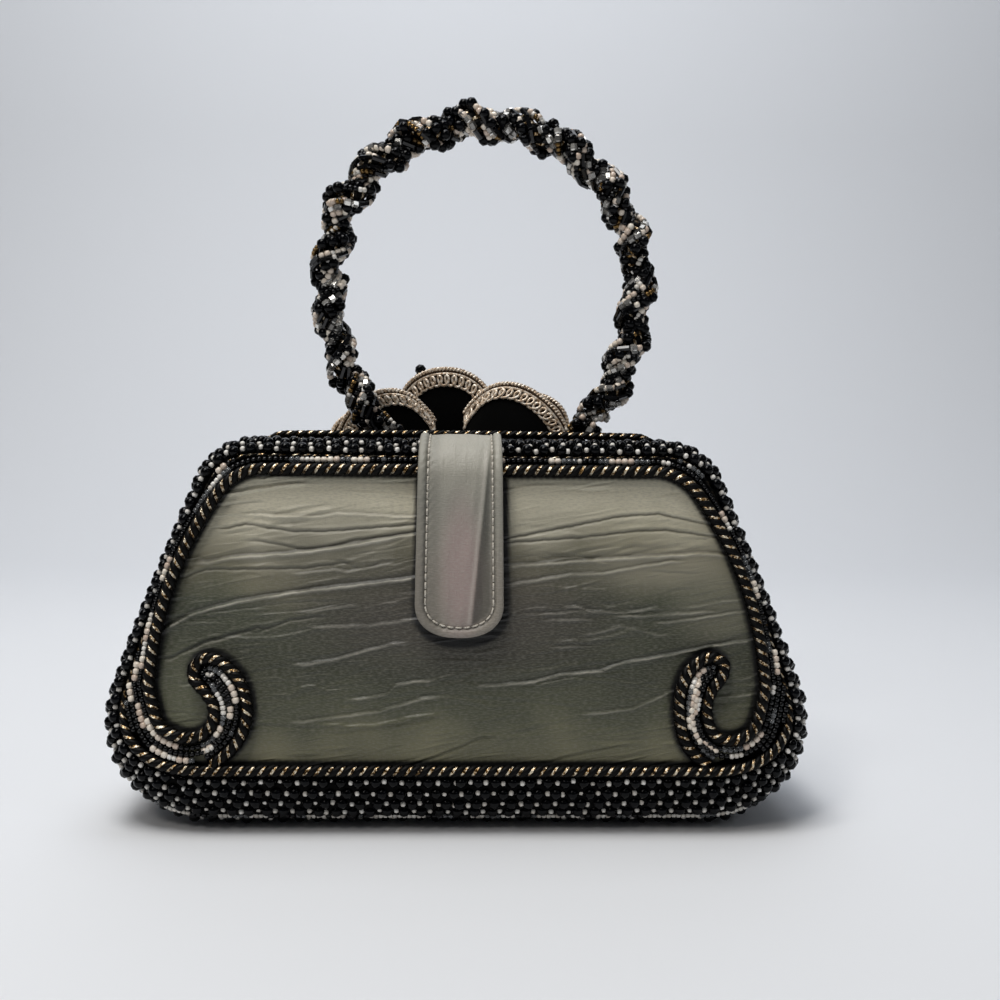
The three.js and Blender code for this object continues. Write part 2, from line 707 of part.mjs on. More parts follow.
addPiece('front_panel', panel(FRONT, FRONT_PANEL_COLUMNS, creaseRelief), SILK);
addPiece('back_panel', panel(BACK, BACK_PANEL_COLUMNS, () => 0), SILK);
addPiece('front_band', band(FRONT), BEADWORK);
addPiece('back_band', band(BACK), BEADWORK);
addPiece('front_ring_cord', ringCord(FRONT), CORD);
addPiece('back_ring_cord', ringCord(BACK), CORD);
addPiece('front_scroll_cord', scrolledCord(FRONT), CORD);
addPiece('back_border_cord', plainCord(BACK), CORD);
addPiece('mouth_cord', mouthCord(), CORD);
addPiece('closure_tab', closureTab(), TAB_SILK);
addSnap();
addPiece('handle_ring', handleRing(), BEADWORK);
addPiece('handle_foot_right', handleFoot(0), BEADWORK);
addPiece('handle_foot_left', handleFoot(1), BEADWORK);
addPiece('flower_centre', flowerCentre(), PETAL_CLOTH);
addPiece('flower_stamen', stamen(), BEADWORK);
PETALS.forEach((petal, i) => {
  const cloth = petalWall(petal, PETAL_ROOT_SHARE, PETAL_OUTER_SHARE, PETAL_STEPS.out, PETAL_WALL);
  const trim = petalWall(petal, TRIM.inner, 1, 1, TRIM.wall);
  addPiece(`petal_${i + 1}`, cloth, PETAL_CLOTH);
  addPiece(`petal_trim_${i + 1}`, trim, TRIM_GIMP);
});

export default bag;
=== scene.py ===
"""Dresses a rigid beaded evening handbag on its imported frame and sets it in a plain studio.

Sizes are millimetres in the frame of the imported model: +X is the right of the tab side, +Y runs
from the tab side to the flower side, +Z is up, and the origin is on the base. Meshes are written
in metres.
"""

import json
import logging
import math
from dataclasses import dataclass, field
from enum import Enum
from functools import cached_property
from typing import Sequence

import bpy
import numpy as np
from mathutils import Matrix, Vector

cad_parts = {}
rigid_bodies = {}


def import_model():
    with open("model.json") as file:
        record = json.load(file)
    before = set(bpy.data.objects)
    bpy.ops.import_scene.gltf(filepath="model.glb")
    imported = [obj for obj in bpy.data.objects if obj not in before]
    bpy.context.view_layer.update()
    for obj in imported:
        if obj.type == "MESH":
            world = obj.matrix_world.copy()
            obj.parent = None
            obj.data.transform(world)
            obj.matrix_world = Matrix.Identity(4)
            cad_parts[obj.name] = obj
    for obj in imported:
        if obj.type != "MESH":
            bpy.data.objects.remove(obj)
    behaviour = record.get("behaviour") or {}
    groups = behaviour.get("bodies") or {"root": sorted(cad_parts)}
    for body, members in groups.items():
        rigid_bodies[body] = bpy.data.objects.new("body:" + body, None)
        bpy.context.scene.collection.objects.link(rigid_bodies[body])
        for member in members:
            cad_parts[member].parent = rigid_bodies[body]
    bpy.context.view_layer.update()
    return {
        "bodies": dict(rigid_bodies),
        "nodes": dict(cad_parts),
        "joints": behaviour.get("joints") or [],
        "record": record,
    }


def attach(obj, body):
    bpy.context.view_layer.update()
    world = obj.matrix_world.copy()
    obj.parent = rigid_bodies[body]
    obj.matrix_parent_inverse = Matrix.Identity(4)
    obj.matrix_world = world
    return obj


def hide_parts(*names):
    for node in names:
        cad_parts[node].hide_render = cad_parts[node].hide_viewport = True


Array = np.ndarray
Material = bpy.types.Material
Piece = bpy.types.Object
Tree = bpy.types.NodeTree
Node = bpy.types.Node
Socket = bpy.types.NodeSocket
Pair = tuple[float, float]
Triple = tuple[float, float, float]
Counts = tuple[int, int]
Corners = tuple[Pair, ...]
Stops = tuple[tuple[float, str], ...]

LOG = logging.getLogger("handbag")
MM = 0.001
BODY = "root"
PANEL_SEED = 20
BAND_SEED = 30
HANDLE_SEED = 40
FOOT_SEED = 41
FLOWER_SEED = 50
FRONT = -1
BACK = 1
TURN = 2.0 * math.pi
GUIDE_X = np.array([1.0, 0.0, 0.0])
GUIDE_Y = np.array([0.0, 1.0, 0.0])
GUIDE_Z = np.array([0.0, 0.0, 1.0])
# Open, lit side of a cord whose gold shows all round, with no painted shade
ALL_SIDES = np.zeros(3)
GOLDEN_ANGLE = math.pi * (3.0 - math.sqrt(5.0))
TINY = 1e-9
# Points on each span of a curve
CURVE_STEPS = 24
# A bead is kept where the line under it has this share of its room
HAS_ROOM = 0.99

# Stations round an outline: where its stretches start, and the numbers of a half and a whole round
LOWER_CORNER = 1.0
UPPER_CORNER = 3.0
TOP = 4.0
HALF_ROUND = 5.0
ROUND = 10.0


# Small numpy helpers

def smooth(share: Array) -> Array:
    """Return 3t^2 - 2t^3 of a share held between 0 and 1."""
    t = np.clip(share, 0.0, 1.0)
    return t * t * (3.0 - 2.0 * t)


def lerp(start: Array, end: Array, share: Array) -> Array:
    """Return start + (end - start) * share."""
    return start + (end - start) * share


def unit(vectors: Array) -> Array:
    """Return the vectors at length one."""
    return vectors / np.maximum(np.linalg.norm(vectors, axis=-1, keepdims=True), TINY)


def run_lengths(path: Array) -> Array:
    """Return the running length along a path, which starts at zero."""
    steps = np.linalg.norm(np.diff(path, axis=0), axis=1)
    return np.concatenate([[0.0], np.cumsum(steps)])


def along_path(path: Array, distances: Array) -> tuple[Array, Array]:
    """Find points and tangents of a path by linear interpolation over its running length.

    Args:
        path: points of the path, one row each.
        distances: lengths from the start of the path.

    Returns:
        Points and unit tangents at those lengths.
    """
    lengths = run_lengths(path)
    slopes = np.gradient(path, lengths, axis=0)
    points = np.stack([np.interp(distances, lengths, axis) for axis in path.T], axis=1)
    tangents = np.stack([np.interp(distances, lengths, slope) for slope in slopes.T], axis=1)
    return points, unit(tangents)


def even_path(path: Array, spacing: float) -> Array:
    """Return the path again with points at an even spacing near the given one.

    Args:
        path: points of the path.
        spacing: spacing that is wanted.

    Returns:
        The evenly spaced points.
    """
    total = run_lengths(path)[-1]
    count = max(2, int(round(total / spacing)) + 1)
    return along_path(path, np.linspace(0.0, total, count))[0]


def even_loop(path: Array, spacing: float) -> Array:
    """Return a closed path again with points at an even spacing, without a repeated end."""
    return even_path(np.concatenate([path, path[:1]]), spacing)[:-1]


def smooth_path(corners: Array, spacing: float) -> Array:
    """Run a Catmull-Rom curve through corner points.

    Each span is the usual cubic in u of its two corners and their neighbours, with the end
    corners repeated.

    Args:
        corners: points that the curve passes.
        spacing: even spacing of the returned points.

    Returns:
        Points along the curve.
    """
    padded = np.concatenate([2 * corners[:1] - corners[1:2], corners, 2 * corners[-1:] - corners[-2:-1]])
    before, here, after, beyond = padded[:-3], padded[1:-2], padded[2:-1], padded[3:]
    u = np.linspace(0.0, 1.0, CURVE_STEPS, endpoint=False)[None, :, None]
    before, here, after, beyond = (p[:, None, :] for p in (before, here, after, beyond))
    spans = 0.5 * (2 * here + (after - before) * u
                   + (2 * before - 5 * here + 4 * after - beyond) * u ** 2
                   + (3 * here - before - 3 * after + beyond) * u ** 3)
    dense = np.concatenate([spans.reshape(-1, corners.shape[1]), corners[-1:]])
    return even_path(dense, spacing)


def cross_axes(tangents: Array, guide: Array) -> tuple[Array, Array]:
    """Return two directions square to each tangent, the first one leaning to the guide.

    Args:
        tangents: directions to be square to.
        guide: direction that the first one leans to.

    Returns:
        The first and the second directions.
    """
    along = unit(tangents)
    flat = guide - along * np.sum(along * guide, axis=-1, keepdims=True)
    first = unit(flat)
    return first, np.cross(along, first)


def path_tangents(path: Array, is_loop: bool = False) -> Array:
    """Return unit tangents from the neighbours of each point of a path.

    Args:
        path: points of the path.
        is_loop: whether the last point joins the first.

    Returns:
        One unit tangent for each point.
    """
    if is_loop:
        return unit(np.roll(path, -1, axis=0) - np.roll(path, 1, axis=0))
    return unit(np.gradient(path, axis=0))


# Meshes from arrays

@dataclass
class Surface:
    """Points, face blocks and point values of one mesh, in millimetres."""

    points: Array
    faces: list[Array]
    uv: Array | None = None
    tone: Array | None = None

    def triangles(self) -> tuple[Array, Array, Array]:
        """Return the first, second and third corners of all triangles, each face cut into a fan."""
        fans = [block[:, [0, k, k + 1]] for block in self.faces for k in range(1, block.shape[1] - 1)]
        return tuple(self.points[corner] for corner in np.concatenate(fans).T)

    def outward(self) -> "Surface":
        """Turn the faces round if the signed volume, a sum of tetrahedra, is below zero.

        Returns:
            The surface itself.
        """
        first, second, third = self.triangles()
        if np.sum(first * np.cross(second, third)) < 0.0:
            self.faces = [block[:, ::-1] for block in self.faces]
        return self


def join(surfaces: Sequence[Surface]) -> Surface:
    """Put surfaces into one, with the face numbers moved along.

    Args:
        surfaces: surfaces to join.

    Returns:
        One surface, with UV and tone if all of them have it.
    """
    starts = np.cumsum([0] + [len(s.points) for s in surfaces])
    faces = [block + start for s, start in zip(surfaces, starts) for block in s.faces]
    points, uv, tone = (
        np.concatenate(values) if all(value is not None for value in values) else None
        for values in zip(*((s.points, s.uv, s.tone) for s in surfaces)))
    return Surface(points, faces, uv, tone)


def grid_faces(rows: int, columns: int, loop_rows: bool = False, loop_columns: bool = False) -> Array:
    """Number the quads of a grid of points.

    Args:
        rows: points down the grid.
        columns: points across the grid.
        loop_rows: whether the last row joins the first.
        loop_columns: whether the last column joins the first.

    Returns:
        One row of four point numbers per quad.
    """
    r = np.arange(rows if loop_rows else rows - 1)[:, None]
    c = np.arange(columns if loop_columns else columns - 1)[None, :]
    r_next = (r + 1) % rows
    c_next = (c + 1) % columns
    quads = np.stack([r * columns + c, r * columns + c_next, r_next * columns + c_next,
                      r_next * columns + c], axis=-1)
    return quads.reshape(-1, 4)


def lofted(rings: Array, is_loop: bool = False) -> Surface:
    """Close a skin over rings of points, with a fan over each open end.

    Args:
        rings: array of ring, point on the ring, and coordinate.
        is_loop: whether the last ring joins the first.

    Returns:
        A closed surface whose UV runs round the ring and along the rings, in millimetres.
    """
    count, sides, _ = rings.shape
    points = rings.reshape(-1, 3)
    faces = [grid_faces(count, sides, loop_rows=is_loop, loop_columns=True)]
    middles = rings.mean(axis=1)
    along = np.repeat(run_lengths(middles), sides)
    around = np.tile(np.arange(sides) / sides, count)
    uv = np.stack([around, along], axis=1)
    if not is_loop:
        here = np.arange(sides)
        after = (here + 1) % sides
        low = np.full(sides, len(points))
        high = low + 1
        last = (count - 1) * sides
        faces.append(np.stack([after, here, low], axis=1))
        faces.append(np.stack([last + here, last + after, high], axis=1))
        points = np.concatenate([points, middles[:1], middles[-1:]])
        uv = np.concatenate([uv, [[0.0, 0.0]], [[0.0, along[-1]]]])
    return Surface(points, faces, uv).outward()


def tube(path: Array, radius: Array | float, sides: int, is_loop: bool = False,
         guide: Array = GUIDE_Y) -> Surface:
    """Carry a circle along a path: middle + r cos(a) first + r sin(a) second.

    Args:
        path: middle line of the tube.
        radius: one radius, or one for each point.
        sides: corners of the circle.
        is_loop: whether the path closes.
        guide: direction that the circle's first axis leans to.

    Returns:
        The closed tube.
    """
    first, second = cross_axes(path_tangents(path, is_loop), guide)
    angle = np.arange(sides) / sides * TURN
    reach = np.broadcast_to(np.asarray(radius, dtype=float), (len(path),))[:, None, None]
    ring = first[:, None] * np.cos(angle)[None, :, None] + second[:, None] * np.sin(angle)[None, :, None]
    return lofted(path[:, None] + reach * ring, is_loop)


def put(name: str, surface: Surface, material: Material, is_smooth: bool = True,
        replaces: Sequence[str] = ()) -> Piece:
    """Write a surface into a mesh, and make it a piece of the bag.

    Args:
        name: name of the piece.
        surface: its points, faces and values.
        material: material of the piece.
        is_smooth: whether its faces are shaded smooth.
        replaces: names of the frame's nodes that it stands for.

    Returns:
        The new object.
    """
    mesh = bpy.data.meshes.new(name)
    mesh.vertices.add(len(surface.points))
    mesh.vertices.foreach_set("co", (surface.points * MM).astype(np.float32).ravel())
    corners = np.concatenate([block.ravel() for block in surface.faces]).astype(np.int32)
    sizes = np.concatenate([np.full(len(block), block.shape[1]) for block in surface.faces])
    mesh.loops.add(len(corners))
    mesh.loops.foreach_set("vertex_index", corners)
    mesh.polygons.add(len(sizes))
    mesh.polygons.foreach_set("loop_start", np.concatenate([[0], np.cumsum(sizes)[:-1]]).astype(np.int32))
    mesh.polygons.foreach_set("use_smooth", np.full(len(sizes), is_smooth))
    if surface.uv is not None:
        layer = mesh.uv_layers.new(name="UVMap")
        layer.data.foreach_set("uv", surface.uv[corners].astype(np.float32).ravel())
    if surface.tone is not None:
        values = mesh.attributes.new("tone", "FLOAT", "POINT")
        values.data.foreach_set("value", surface.tone.astype(np.float32))
    mesh.update(calc_edges=True)
    mesh.validate()
    mesh.materials.append(material)
    piece = bpy.data.objects.new(name, mesh)
    bpy.context.scene.collection.objects.link(piece)
    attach(piece, BODY)
    if replaces:
        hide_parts(*replaces)
    LOG.info("%s: %d points, %d faces", name, len(surface.points), len(sizes))
    return piece


# Form of the bag

def right_station(station: Array) -> Array:
    """Return stations of the left side as those of the right, which run from 0 to 5."""
    wrapped = np.mod(station, ROUND)
    return np.where(wrapped > HALF_ROUND, ROUND - wrapped, wrapped)


def whole_round(count: int, has_end: bool = False) -> Array:
    """Return evenly spaced stations round an outline, with or without the first one again."""
    return np.linspace(0.0, ROUND, count, endpoint=has_end)


@dataclass(frozen=True)
class Outline:
    """Rounded trapezoid in X and Z: two corner circles a side, joined by a side arc."""

    lower_x: float
    lower_z: float
    lower_r: float
    upper_x: float
    upper_z: float
    upper_r: float
    side_r: float

    def side_arc(self) -> tuple[float, float, float, float]:
        """Find the side arc that touches both corner circles from inside.

        Its middle is where circles of (side - corner) radius about both corners cross.

        Returns:
            Middle x and z, and the angles where it meets the lower and upper corner.
        """
        reach_lower = self.side_r - self.lower_r
        reach_upper = self.side_r - self.upper_r
        span_x = self.upper_x - self.lower_x
        span_z = self.upper_z - self.lower_z
        span = math.hypot(span_x, span_z)
        along = (reach_lower ** 2 - reach_upper ** 2 + span ** 2) / (2.0 * span)
        off = math.sqrt(reach_lower ** 2 - along ** 2)
        x = self.lower_x + (span_x * along - span_z * off) / span
        z = self.lower_z + (span_z * along + span_x * off) / span
        return (x, z, math.atan2(self.lower_z - z, self.lower_x - x),
                math.atan2(self.upper_z - z, self.upper_x - x))

    def at(self, station: Array) -> tuple[Array, Array]:
        """Find the outline's points by station.

        Stations 0 to 5 run along half the base, the lower corner, the side, the upper corner
        and half the top of the right side, and 5 to 10 mirror them down the left.

        Args:
            station: station numbers.

        Returns:
            X and Z of the points.
        """
        t = right_station(station)
        stretch = np.clip(np.floor(t), 0.0, TOP)
        u = t - stretch
        side_x, side_z, low, high = self.side_arc()
        lower = lerp(-math.pi / 2, low, u)
        side = lerp(low, high, u)
        upper = lerp(high, math.pi / 2, u)
        cases = [stretch == k for k in range(int(HALF_ROUND))]
        x = np.select(cases, [
            self.lower_x * u, self.lower_x + self.lower_r * np.cos(lower),
            side_x + self.side_r * np.cos(side), self.upper_x + self.upper_r * np.cos(upper),
            self.upper_x * (1.0 - u)])
        z = np.select(cases, [
            self.lower_z - self.lower_r + 0.0 * u, self.lower_z + self.lower_r * np.sin(lower),
            side_z + self.side_r * np.sin(side), self.upper_z + self.upper_r * np.sin(upper),
            self.upper_z + self.upper_r + 0.0 * u])
        return np.where(np.mod(station, ROUND) > HALF_ROUND, -x, x), z


@dataclass(frozen=True)
class BagForm:
    """Outer form of the bag's body, as on the frame."""

    edge: Outline = Outline(80.2, 33.4, 33.4, 67.6, 104.3, 20.0, 3000.0)
    border: Outline = Outline(70.8, 47.1, 26.0, 62.4, 97.6, 17.0, 110.0)
    face_setback: float = 34.0
    face_lean: float = 0.14
    face_crown: float = 3.5
    crown_half_bottom: float = 101.0
    crown_half_top: float = 70.0
    flank_bottom: float = 20.0
    flank_top: float = 8.0
    body_top: float = 124.3
    panel_bottom: float = 21.1
    panel_top: float = 114.6
    panel_tuck: float = 1.5
    rope_stand: float = 4.9
    gap: float = 0.35
    split_y: float = -3.5
    mouth_width: float = 5.6
    mouth_half: float = 64.0
    mouth_taper: float = 12.0
    front_base_angle: float = 90.0
    back_base_angle: float = 64.0
    side_angle: float = 47.0
    cord_clearance_angle: float = 6.0
    panel_samples: int = 600

    def face_depth(self, z: Array) -> Array:
        """Return the half depth of the leaning flat face at a height."""
        return self.face_setback - self.face_lean * z

    def crown(self, x: Array, z: Array) -> Array:
        """Return the face's swell: its height times two parabolas, across and up.

        Args:
            x: across the bag.
            z: up the bag.

        Returns:
            How far the face stands out.
        """
        share = (z - self.panel_bottom) / (self.panel_top - self.panel_bottom)
        half = lerp(self.crown_half_bottom, self.crown_half_top, share)
        across = np.maximum(0.0, 1.0 - (x / half) ** 2)
        return self.face_crown * across * np.maximum(0.0, 1.0 - (2.0 * share - 1.0) ** 2)

    def flank(self, z: Array) -> Array:
        """Return the half depth of the flank, which narrows to the top."""
        return lerp(self.flank_bottom, self.flank_top, z / self.body_top)

    def ring_cord_angle(self, side: int, station: Array) -> Array:
        """Return the ring cord's angle on the shoulder, which drops to the panel along the base."""
        base = self.front_base_angle if side == FRONT else self.back_base_angle
        return lerp(base, self.side_angle, smooth(right_station(station) - LOWER_CORNER))

    def shoulder(self, side: int, station: Array, degrees: Array, depth: Array | float) -> Array:
        """Find points of the shoulder, set inwards by a depth.

        At each station it is a quarter ellipse from the flank (0 degrees) to the front of the
        border cord (90 degrees), and the depth goes down the ellipse's normal.

        Args:
            side: front or back.
            station: stations of the outline.
            degrees: angles on the ellipse.
            depth: distance below the surface.

        Returns:
            The points.
        """
        edge_x, edge_z = self.edge.at(station)
        border_x, border_z = self.border.at(station)
        inset = np.hypot(border_x - edge_x, border_z - edge_z)
        flank = self.flank(edge_z)
        reach = self.face_depth(border_z) + self.rope_stand - flank
        angle = np.radians(degrees)
        normal_in = np.cos(angle) / inset
        normal_y = np.sin(angle) / reach
        normal = np.hypot(normal_in, normal_y)
        inward = inset * (1.0 - np.cos(angle)) + depth * normal_in / normal
        y = flank + reach * np.sin(angle) - depth * normal_y / normal
        share = inward / inset
        return np.stack([lerp(edge_x, border_x, share), side * y, lerp(edge_z, border_z, share)], axis=-1)

    def split_half(self, station: Array) -> Array:
        """Return half the gap between the bands, a hair line that opens to the mouth on top.

        Args:
            station: stations of the outline.

        Returns:
            Half the gap at each station.
        """
        x, _ = self.edge.at(station)
        is_top = right_station(station) > UPPER_CORNER
        is_open = np.where(is_top, smooth((self.mouth_half - np.abs(x)) / self.mouth_taper), 0.0)
        return lerp(self.gap, self.mouth_width, is_open) / 2.0

    def band_profile(self, side: int, station: Array, depth: Array | float, arc_steps: int,
                     flank_steps: int) -> Array:
        """Run from the ring cord's edge down the shoulder and along the flank to the split.

        Args:
            side: front or back.
            station: stations of the outline.
            depth: distance below the tops of the beads, one or one for each station.
            arc_steps: points on the shoulder.
            flank_steps: points on the flank.

        Returns:
            Array of station, point on the profile, and coordinate.
        """
        start = self.ring_cord_angle(side, station) - self.cord_clearance_angle
        share = np.linspace(1.0, 0.0, arc_steps)
        arc = self.shoulder(side, station[:, None], start[:, None] * share[None, :], depth)
        end_y = self.split_y + side * self.split_half(station)
        down = np.linspace(0.0, 1.0, flank_steps + 1)[1:]
        flank = np.repeat(arc[:, -1:], flank_steps, axis=1)
        flank[:, :, 1] = lerp(arc[:, -1:, 1], end_y[:, None], down[None, :])
        return np.concatenate([arc, flank], axis=1)

    def on_face(self, side: int, x: Array, z: Array, stand: Array | float) -> Array:
        """Return points that stand off the crowned face by a distance."""
        return np.stack([x, side * (self.face_depth(z) + self.crown(x, z) + stand), z], axis=-1)

    def panel_half(self, z: Array) -> Array:
        """Return half the width of the silk at a height, tucked under the border."""
        x, height = self.border.at(np.linspace(LOWER_CORNER, TOP, self.panel_samples))
        return np.interp(z, height, x + self.panel_tuck)


@dataclass(frozen=True)
class CordRoutes:
    """Middle lines of the cords, as on the frame."""

    form: BagForm
    rope_radius: float = 2.2
    ring_radius: float = 1.8
    spacing: float = 0.7
    scroll_join_z: float = 46.0
    ring_sink: float = 1.7
    ring_share_base: float = 1.1
    ring_share_side: float = 0.42
    ring_taper_from: float = 27.0
    ring_taper_to: float = 50.0
    body_middle: Triple = (0.0, 7.3, 60.0)
    facing_rise: float = 0.25
    mouth_radius: float = 1.5
    mouth_y: float = 1.0
    mouth_half: float = 66.0
    mouth_bow: float = 0.6
    mouth_sink: float = 0.9
    mouth_end: float = 7.0
    mouth_dip: float = 3.4
    scroll_facing_rise: float = 0.4
    mouth_samples: int = 190
    loop_samples: int = 2000
    border_samples: int = 60
    right_scroll: Corners = (
        (78.6, 22.6), (75.0, 25.4), (72.2, 28.4), (70.5, 32.0), (69.5, 37.5), (69.5, 43.5), (71.0, 49.4),
        (74.2, 53.8), (79.4, 56.4), (83.6, 54.4), (83.0, 50.2), (79.9, 46.4), (78.2, 42.0), (78.3, 37.0),
        (80.2, 32.6), (84.2, 30.6), (89.4, 31.2), (93.8, 35.2))
    left_scroll: Corners = (
        (76.8, 22.6), (72.9, 25.5), (69.7, 28.6), (67.4, 32.4), (66.0, 37.5), (66.2, 42.6), (67.6, 47.4),
        (70.6, 51.6), (75.4, 55.0), (80.3, 55.2), (82.9, 51.8), (81.9, 48.2), (79.0, 45.4), (76.4, 41.2),
        (76.3, 36.4), (79.3, 32.4), (84.0, 31.0), (89.2, 32.2), (93.5, 35.6))

    def ring(self, side: int) -> Array:
        """Return the closed line of the ring cord, which sinks between the beads above the base.

        Args:
            side: front or back.

        Returns:
            Points of the line.
        """
        station = whole_round(self.loop_samples)
        angle = self.form.ring_cord_angle(side, station)
        _, height = self.form.border.at(station)
        depth = self.ring_radius + self.ring_sink * self.ring_taper(height)
        return even_loop(self.form.shoulder(side, station, angle, depth), self.spacing)

    def ring_taper(self, height: Array) -> Array:
        """Return 0 along the base and 1 up the sides and over the top."""
        return smooth((height - self.ring_taper_from) / (self.ring_taper_to - self.ring_taper_from))

    def ring_shares(self, path: Array) -> Array:
        """Return the ring cord's size along its path: full along the base, thin above it."""
        return lerp(self.ring_share_base, self.ring_share_side, self.ring_taper(path[:, 2]))

    def ring_facing(self, path: Array) -> Array:
        """Return the ring cord's open side, where its gold is painted lit: away from the body's middle, and
        never downwards.

        Args:
            path: line of the ring cord.

        Returns:
            One unit direction for each point.
        """
        away = (path - np.array(self.body_middle)) * (GUIDE_Y + GUIDE_Z)
        away[:, 2] = np.maximum(away[:, 2], self.facing_rise * np.abs(away[:, 1]))
        return unit(away)

    def border(self) -> Array:
        """Return the closed line of the plain border cord of the back."""
        x, z = self.form.border.at(whole_round(self.loop_samples))
        return even_loop(self.form.on_face(BACK, x, z, self.rope_radius + self.form.gap), self.spacing)

    def scrolled(self, is_right: bool) -> Array:
        """Return half of the front cord, from its scroll's root to the top's middle.

        Args:
            is_right: whether it is the right half.

        Returns:
            Points of the line.
        """
        x, z = self.form.border.at(np.linspace(LOWER_CORNER, HALF_ROUND, self.border_samples))
        keep = z > self.scroll_join_z
        scroll = self.right_scroll if is_right else self.left_scroll
        corners = np.concatenate([np.array(scroll), np.stack([x[keep], z[keep]], axis=1)])
        line = smooth_path(corners, self.spacing)
        across = line[:, 0] if is_right else -line[:, 0]
        return self.form.on_face(FRONT, across, line[:, 1], self.rope_radius + self.form.gap)

    def scrolled_whole(self) -> Array:
        """Return the front cord from the right scroll's root over the top to the left one's."""
        return np.concatenate([self.scrolled(True), self.scrolled(False)[-2::-1]])

    def mouth(self) -> Array:
        """Return the bowed line of the cord on the far lip of the mouth, whose ends dip into the rim.

        Returns:
            Points of the line.
        """
        across = np.linspace(-1.0, 1.0, self.mouth_samples)
        rest = self.form.body_top + self.form.gap + self.mouth_radius - self.mouth_sink
        past = np.maximum(0.0, np.abs(across) * self.mouth_half - (self.mouth_half - self.mouth_end))
        z = rest + self.mouth_bow * (1.0 - across ** 2) - self.mouth_dip * (past / self.mouth_end) ** 2
        return np.stack([self.mouth_half * across, 0.0 * across + self.mouth_y, z], axis=1)


@dataclass(frozen=True)
class TwistedCord:
    """Cord of two black plies with a flat bundle of gold thread in each groove."""

    radius: float
    turn_length: float = 7.0
    ply_share: float = 0.54
    ply_sides: int = 6
    gold_threads: int = 3
    gold_radius: float = 0.22
    gold_sides: int = 3
    gold_spread: float = 0.26
    gold_reach: float = 0.89
    gold_edge: float = 0.62
    gold_fade: float = 0.24

    def wound(self, path: Array, is_loop: bool, phase: float, reach: Array | float) -> Array:
        """Wind a line about a path: middle + reach (cos a first + sin a second).

        The angle goes one turn in a turn length, against the clock, and a loop gets a whole
        number of turns.

        Args:
            path: middle line of the cord.
            is_loop: whether the path closes.
            phase: angle at the start, in radians.
            reach: distance from the middle line, one or one for each point.

        Returns:
            The wound line.
        """
        closed = np.concatenate([path, path[:1]]) if is_loop else path
        lengths = run_lengths(closed)
        turns = lengths[-1] / self.turn_length
        turns = round(turns) if is_loop else turns
        angle = phase - lengths[:len(path)] / lengths[-1] * turns * TURN
        first, second = cross_axes(path_tangents(path, is_loop), GUIDE_Y)
        far = np.broadcast_to(np.asarray(reach, dtype=float), (len(path),))[:, None]
        return path + far * (first * np.cos(angle)[:, None] + second * np.sin(angle)[:, None])

    def plies(self, path: Array, is_loop: bool, shares: Array | float = 1.0) -> Surface:
        """Return both plies as tubes that touch on the middle line, sized by the shares.

        Args:
            path: middle line of the cord.
            is_loop: whether the path closes.
            shares: size of the cord along its path.

        Returns:
            Both plies in one surface.
        """
        ply = self.radius * self.ply_share
        lines = [self.wound(path, is_loop, phase, (self.radius - ply) * shares) for phase in (0.0, math.pi)]
        return join([tube(line, ply * shares, self.ply_sides, is_loop) for line in lines])

    def gold(self, path: Array, is_loop: bool, shares: Array | float = 1.0,
             facing: Array = ALL_SIDES) -> Surface:
        """Return the gold threads, side by side in both grooves.

        A thread's tone is 1 where it comes up on the cord's open, lit side and 0 elsewhere, where its
        colour turns to painted shade, by the cosine between its way out of the cord and the open side.

        Args:
            path: middle line of the cord.
            is_loop: whether the path closes.
            shares: size of the cord along its path.
            facing: way that the open side faces, one or one for each point; zero for all sides.

        Returns:
            The threads, with their tone.
        """
        fan = (np.arange(self.gold_threads) - (self.gold_threads - 1) / 2.0) * self.gold_spread
        reach = (self.radius * shares - self.gold_radius) * self.gold_reach
        phases = [groove + turn for groove in (math.pi / 2, -math.pi / 2) for turn in fan]
        threads = []
        for phase in phases:
            line = self.wound(path, is_loop, phase, reach)
            thread = tube(line, self.gold_radius, self.gold_sides, is_loop)
            cosine = np.sum(unit(line - path) * facing, axis=1) if np.any(facing) else np.ones(len(path))
            tone = np.repeat(smooth((cosine - self.gold_edge) / self.gold_fade), self.gold_sides)
            thread.tone = np.concatenate([tone, np.zeros(len(thread.points) - len(tone))])
            threads.append(thread)
        return join(threads)


# Silk

@dataclass(frozen=True)
class FoldLight:
    """Painted light and shade on a sort of fold: places of its painted dark and painted light over the line,
    in ridge widths.
    """

    dark_at: float
    light_at: float
    strength: float


@dataclass(frozen=True)
class Crease:
    """One pressed fold of the silk: a line of x and z, its height (below 0 for a valley) and half width."""

    line: Corners
    height: float
    width: float

    def mirrored(self) -> "Crease":
        """Return the fold of the same cloth on the far face, turned left to right."""
        return Crease(tuple((-x, z) for x, z in reversed(self.line)), self.height, self.width)


